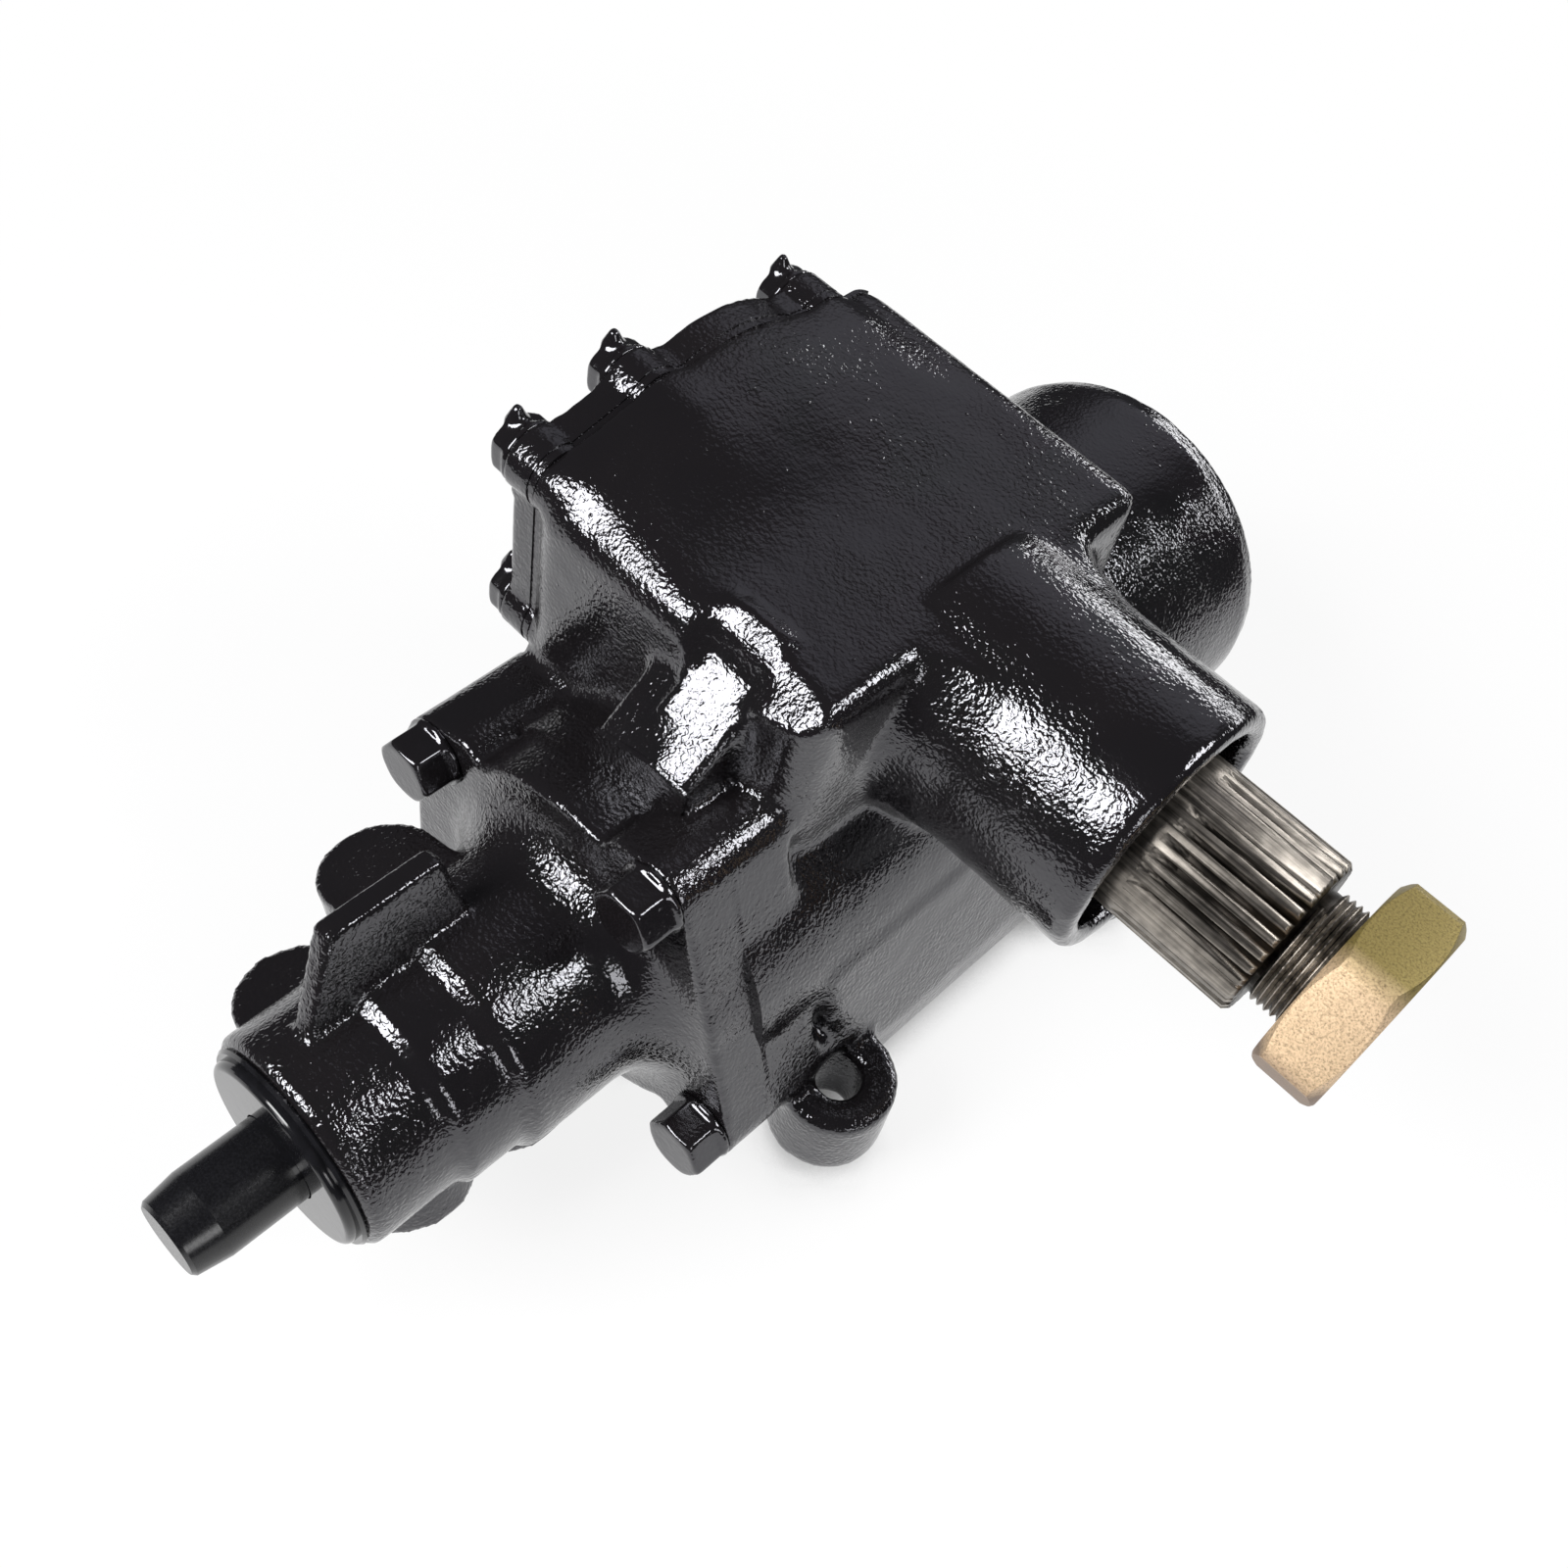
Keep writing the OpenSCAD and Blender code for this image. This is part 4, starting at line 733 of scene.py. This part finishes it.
class GEARBOX_OT_sector_end(bpy.types.Operator):
    """Bare end of the sector shaft and its nut"""
    bl_idname = "gearbox.sector_end"
    bl_label = "Sector shaft and nut"

    def execute(self, context):
        shape, finish = context.scene.gearbox_shape, context.scene.gearbox_finish
        # The darker colours are painted shade in the grooves of the spline and the roots of the thread, and
        # the steel colour is the painted highlight on their crests
        steel = machined_steel("Broached and turned steel", finish.steel, "#3a3632", groove=17.3, crest=18.7,
                               along=(1, 0, 0))
        turned = machined_steel("Cut thread", finish.steel, "#26221e", groove=12.9, crest=13.9,
                               along=(0, 0, 0))
        run_in = 3.6 * MM
        crest, start = self.thread_place()
        shaft = self.shaft(crest, start, shape.thread_depth)
        dress(shaft, "sector_shaft", steel, "sector")
        shaft.data.set_sharp_from_angle(angle=MACHINED_ANGLE)
        thread = self.thread(crest, start - run_in, shape.thread_pitch, shape.thread_depth)
        thread.data.materials.append(turned)
        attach(thread, "sector")
        nut = piece_from(merged_copy("pitman_nut"), "pitman_nut_plated")
        edge = nut.modifiers.new("edges", "BEVEL")
        edge.width = shape.edge
        edge.segments = 3
        edge.limit_method = "ANGLE"
        edge.angle_limit = BEVEL_ANGLE
        apply_modifiers(nut)
        plate = yellow_zinc("Yellow chromate zinc plate", finish.zinc)
        dress(nut, "pitman_nut", plate, "sector")
        nut.data.set_sharp_from_angle(angle=MACHINED_ANGLE)
        return {"FINISHED"}

    def thread_place(self):
        """Radius of the CAD cylinder that stands for the thread, and where it starts."""
        tolerance = 0.02 * MM
        outer = [v.co for v in NODES["sector_shaft"].data.vertices if v.co.x > NUT_SEAT]
        crest = max(math.hypot(co.y, co.z) for co in outer)
        same = [v.co.x for v in NODES["sector_shaft"].data.vertices
                if v.co.x > 0 and abs(math.hypot(v.co.y, v.co.z) - crest) < tolerance]
        return crest, min(same)

    def shaft(self, crest, start, depth):
        """Shaft turned down to the root of the thread."""
        tolerance = 0.01 * MM
        bm = merged_copy("sector_shaft")
        for vertex in bm.verts:
            radius = math.hypot(vertex.co.y, vertex.co.z)
            if vertex.co.x > start - tolerance and radius > crest - depth:
                vertex.co.yz *= (crest - depth) / radius
        return piece_from(bm, "sector_shaft_turned")

    def thread(self, crest, start, pitch, depth):
        """One ridge wound along the shaft's end."""
        sunk, crest_wear_and_highlight, chamfer = 0.1 * MM, 0.03 * MM, 1.2 * MM
        bm = bmesh.new()
        root, top = crest - depth - sunk, crest - crest_wear_and_highlight
        half_foot, half_top = 0.47 * pitch, 0.07 * pitch
        profile = ((-half_foot, root), (-half_top, top), (half_top, top), (half_foot, root))
        ring = [bm.verts.new((start + x, 0, r)) for x, r in profile]
        sides = [bm.edges.new((ring[i], ring[(i + 1) % 4])) for i in range(4)]
        steps = 48
        turns = (SHAFT_END - chamfer - start) / pitch
        bmesh.ops.spin(bm, geom=ring + sides, cent=(0, 0, 0), axis=(1, 0, 0), dvec=(pitch / steps, 0, 0),
                       angle=2 * math.pi * turns, steps=round(steps * turns), use_merge=False)
        bmesh.ops.remove_doubles(bm, verts=bm.verts, dist=1e-7)
        bmesh.ops.holes_fill(bm, edges=bm.edges, sides=4)
        bmesh.ops.recalc_face_normals(bm, faces=bm.faces)
        return piece_from(bm, "sector_thread")


# Finishes by slot: name, two shades, roughness, metal, and the grain's width and depth in mm
PLAIN_FINISHES = {
    # Ground or turned steel with an oil film: grey, satin, faintly mottled
    "machined_steel": ("Turned steel", "#6f6b66", "#8f8b85", 0.32, 1.0, 1.2, 0.01),
    # Hardened bearing steel: bright and almost mirror smooth
    "bearing_steel": ("Ground bearing steel", "#a4a4a6", "#bcbcbe", 0.18, 1.0, 0.8, 0.004),
    # Spring steel blackened in hardening
    "spring_steel": ("Blackened spring steel", "#2b2b2e", "#414145", 0.4, 1.0, 1.0, 0.01),
    # Cast bearing bronze: warm and satin
    "bush_bronze": ("Bearing bronze", "#96743f", "#b8935a", 0.35, 1.0, 1.5, 0.01),
    # Nitrile rubber: black with a soft sheen
    "seal_rubber": ("Nitrile rubber", "#161618", "#222226", 0.45, 0.0, 0.9, 0.02),
    # Filled seal plastic: dark green brown and dull
    "ring_plastic": ("Filled seal plastic", "#2f352b", "#3f463a", 0.5, 0.0, 1.2, 0.01),
    # Pressed fibre: dull grey brown with short fibres
    "gasket_fibre": ("Pressed fibre", "#3d3933", "#5a544a", 0.8, 0.0, 0.6, 0.03),
    # Moulded cap: black with a satin skin
    "cap_plastic": ("Moulded black plastic", "#0f0f11", "#161619", 0.24, 0.0, 0.5, 0.004),
}
# Dust cover and shaft end, dipped in the same black: a smooth gloss face
DIPPED_FINISH = ("Dipped black sheet", "#121214", "#19191c", 0.12, 0.0, 3.0, 0.02)
DIPPED = ("dust_cover", "input_shaft")
# Nodes that have a finish of their own
DRESSED = ("sector_shaft", "pitman_nut", "side_cover_gasket")


class GEARBOX_OT_plain_parts(bpy.types.Operator):
    """Finishes of the input end and of the pieces inside"""
    bl_idname = "gearbox.plain_parts"
    bl_label = "Input end and inner pieces"

    def execute(self, context):
        finishes = {slot: plain_surface(*look) for slot, look in PLAIN_FINISHES.items()}
        dipped = plain_surface(*DIPPED_FINISH)
        for part in frame["record"]["subparts"]:
            node, slot = NODES[part["node"]], part["material_slot"]
            if slot in finishes and part["node"] not in DRESSED:
                node.data.materials.clear()
                node.data.materials.append(dipped if part["node"] in DIPPED else finishes[slot])
        return {"FINISHED"}


# What the lamps look at, and their names, directions, distances, widths and heights, and radiance
LAMPS_MIDDLE = Vector((-60, -20, -30)) * MM
LAMPS = (
    ("key_softbox", (-0.29, -0.72, 0.63), 1.0, (0.46, 0.54), 16.0),
    ("top_softbox", (0.57, 0.41, 0.71), 1.2, (0.52, 0.34), 13.0),
    ("back_strip", (0.1, 0.96, 0.25), 1.2, (1.0, 0.22), 7.0),
    ("side_fill", (0.9, -0.3, 0.32), 1.3, (0.4, 0.4), 5.0),
)
# Middle of the round table, its radius, and its gap under the gearbox
TABLE_MIDDLE = Vector((-0.08, -0.02, FLOOR))
TABLE_RADIUS = 0.42
TABLE_GAP = Vector((0, 0, 0.0003))


class GEARBOX_OT_studio(bpy.types.Operator):
    """White table, dark room, softboxes, world and camera"""
    bl_idname = "gearbox.studio"
    bl_label = "Studio"

    def execute(self, context):
        scene = context.scene
        scene.view_settings.view_transform = "Standard"
        self.table()
        self.room()
        for name, direction, distance, size, radiance in LAMPS:
            lamp = bpy.data.lights.new(name, "AREA")
            lamp.shape = "RECTANGLE"
            lamp.size, lamp.size_y = size
            lamp.energy = radiance * math.pi * size[0] * size[1]
            obj = bpy.data.objects.new(name, lamp)
            away = Vector(direction).normalized()
            obj.matrix_world = Matrix.Translation(LAMPS_MIDDLE + away * distance) @ away.to_track_quat(
                "Z", "Y").to_matrix().to_4x4()
            scene.collection.objects.link(obj)
        self.world(scene)
        self.camera(scene)
        return {"FINISHED"}

    def table(self):
        """Round white table that keeps a faint shadow, with painted shade in the crevices under the gearbox.
        """
        bm = bmesh.new()
        bmesh.ops.create_circle(bm, cap_ends=True, segments=96, radius=TABLE_RADIUS)
        bmesh.ops.translate(bm, verts=bm.verts, vec=TABLE_MIDDLE - TABLE_GAP)
        obj = piece_from(bm, "table")
        material = bpy.data.materials.new("Matt white laminate")
        tree = empty_tree(material)
        place = add(tree, "ShaderNodeTexCoord", {}).outputs["Object"]
        centred = add(tree, "ShaderNodeVectorMath", {0: place, 1: TABLE_MIDDLE}, operation="SUBTRACT")
        away = add(tree, "ShaderNodeVectorMath", {0: centred.outputs["Vector"]}, operation="LENGTH")
        # The shadow fades out before the edge, where the table is as white as what lies behind it
        fade = spread(tree, away.outputs["Value"], (0.2, 0.38), (0.86, 1.0))
        # Painted shade: deep under the castings and in the holes of the ears, found by ambient occlusion,
        # the table loses its glow and its matt colour is darkened
        painted_contact_shade = add(tree, "ShaderNodeAmbientOcclusion", {"Color": (0.9, 0.9, 0.9, 1), "Distance": 14 * MM},
                      samples=8)
        unshaded_share = spread(tree, painted_contact_shade.outputs["AO"], (0.4, 0.75))
        share = multiply(tree, multiply(tree, seen_directly(tree), fade), unshaded_share)
        matt = add(tree, "ShaderNodeBsdfDiffuse", {"Color": painted_contact_shade.outputs["Color"]})
        glow = add(tree, "ShaderNodeEmission", {"Color": (1, 1, 1, 1), "Strength": 1.0})
        both = add(tree, "ShaderNodeMixShader", {0: share, 1: matt.outputs["BSDF"],
                                                 2: glow.outputs["Emission"]})
        add(tree, "ShaderNodeOutputMaterial", {"Surface": both.outputs["Shader"]})
        obj.data.materials.append(material)

    def room(self):
        """Dark walls with a soft glow high at the back, which only reflections see."""
        bm = bmesh.new()
        bmesh.ops.create_cube(bm, size=5.0)
        obj = piece_from(bm, "dark_room")
        material = bpy.data.materials.new("Dark grey wall paint")
        tree = empty_tree(material)
        place = add(tree, "ShaderNodeTexCoord", {}).outputs["Object"]
        way = add(tree, "ShaderNodeVectorMath", {0: place}, operation="NORMALIZE")
        towards = Vector((-0.30, 0.76, 0.58)).normalized()
        facing = add(tree, "ShaderNodeVectorMath", {0: way.outputs["Vector"], 1: towards},
                     operation="DOT_PRODUCT")
        level = spread(tree, facing.outputs["Value"], (0.86, 1.0), (0.055, 0.42), "SMOOTHSTEP")
        glow = add(tree, "ShaderNodeEmission", {"Color": (*linear("#f4f4ff"), 1),
                                                "Strength": level})
        add(tree, "ShaderNodeOutputMaterial", {"Surface": glow.outputs["Emission"]})
        obj.data.materials.append(material)
        obj.visible_camera = False
        obj.visible_shadow = False

    def world(self, scene):
        """White for what the camera sees, a soft grey for light on matt surfaces."""
        world = bpy.data.worlds.new("studio")
        tree = empty_tree(world)
        dim = add(tree, "ShaderNodeBackground", {"Color": (0.95, 0.96, 1.0, 1), "Strength": 0.35})
        white = add(tree, "ShaderNodeBackground", {"Color": (1, 1, 1, 1), "Strength": 1.0})
        both = add(tree, "ShaderNodeMixShader", {0: seen_directly(tree), 1: dim.outputs["Background"],
                                                 2: white.outputs["Background"]})
        add(tree, "ShaderNodeOutputWorld", {"Surface": both.outputs["Shader"]})
        scene.world = world

    def camera(self, scene):
        """Camera as fitted to the photograph: azimuth, elevation, roll, eye point and lens."""
        azimuth, elevation, roll = (math.radians(a) for a in (33.04, 54.42, 14.50))
        eye = Vector((51.50, -220.89, 282.26)) * MM
        sensor, focal_pixels, photo_pixels = 36, 1791.9, 1600
        back = Vector((math.sin(azimuth) * math.cos(elevation), -math.cos(azimuth) * math.cos(elevation),
                       math.sin(elevation)))
        level = Vector((math.cos(azimuth), math.sin(azimuth), 0))
        above = back.cross(level)
        right = level * math.cos(roll) + above * math.sin(roll)
        up = above * math.cos(roll) - level * math.sin(roll)
        data = bpy.data.cameras.new("camera")
        data.sensor_width = sensor
        data.lens = sensor * focal_pixels / photo_pixels
        data.clip_start = 0.01
        obj = bpy.data.objects.new("camera", data)
        turned = Matrix((right, up, back)).transposed().to_4x4()
        obj.matrix_world = Matrix.Translation(eye) @ turned
        scene.collection.objects.link(obj)
        scene.camera = obj


PIECES = (GEARBOX_OT_castings, GEARBOX_OT_bolts, GEARBOX_OT_sector_end, GEARBOX_OT_plain_parts,
          GEARBOX_OT_studio)


class GEARBOX_PT_panel(bpy.types.Panel):
    """Sizes, colours and build steps of the gearbox"""
    bl_label = "Steering gearbox"
    bl_idname = "GEARBOX_PT_panel"
    bl_space_type = "VIEW_3D"
    bl_region_type = "UI"
    bl_category = "Gearbox"

    def draw(self, context):
        for group in (context.scene.gearbox_shape, context.scene.gearbox_finish):
            for name in group.__annotations__:
                self.layout.prop(group, name)
        for piece in PIECES:
            self.layout.operator(piece.bl_idname)


CLASSES = (GearboxShape, GearboxFinish, *PIECES, GEARBOX_PT_panel)


def register():
    for cls in CLASSES:
        bpy.utils.register_class(cls)
    bpy.types.Scene.gearbox_shape = bpy.props.PointerProperty(type=GearboxShape)
    bpy.types.Scene.gearbox_finish = bpy.props.PointerProperty(type=GearboxFinish)


def unregister():
    del bpy.types.Scene.gearbox_finish
    del bpy.types.Scene.gearbox_shape
    for cls in reversed(CLASSES):
        bpy.utils.unregister_class(cls)


def main():
    register()
    bpy.ops.gearbox.castings()
    bpy.ops.gearbox.bolts()
    bpy.ops.gearbox.sector_end()
    bpy.ops.gearbox.plain_parts()
    bpy.ops.gearbox.studio()


if __name__ == "__main__":
    main()
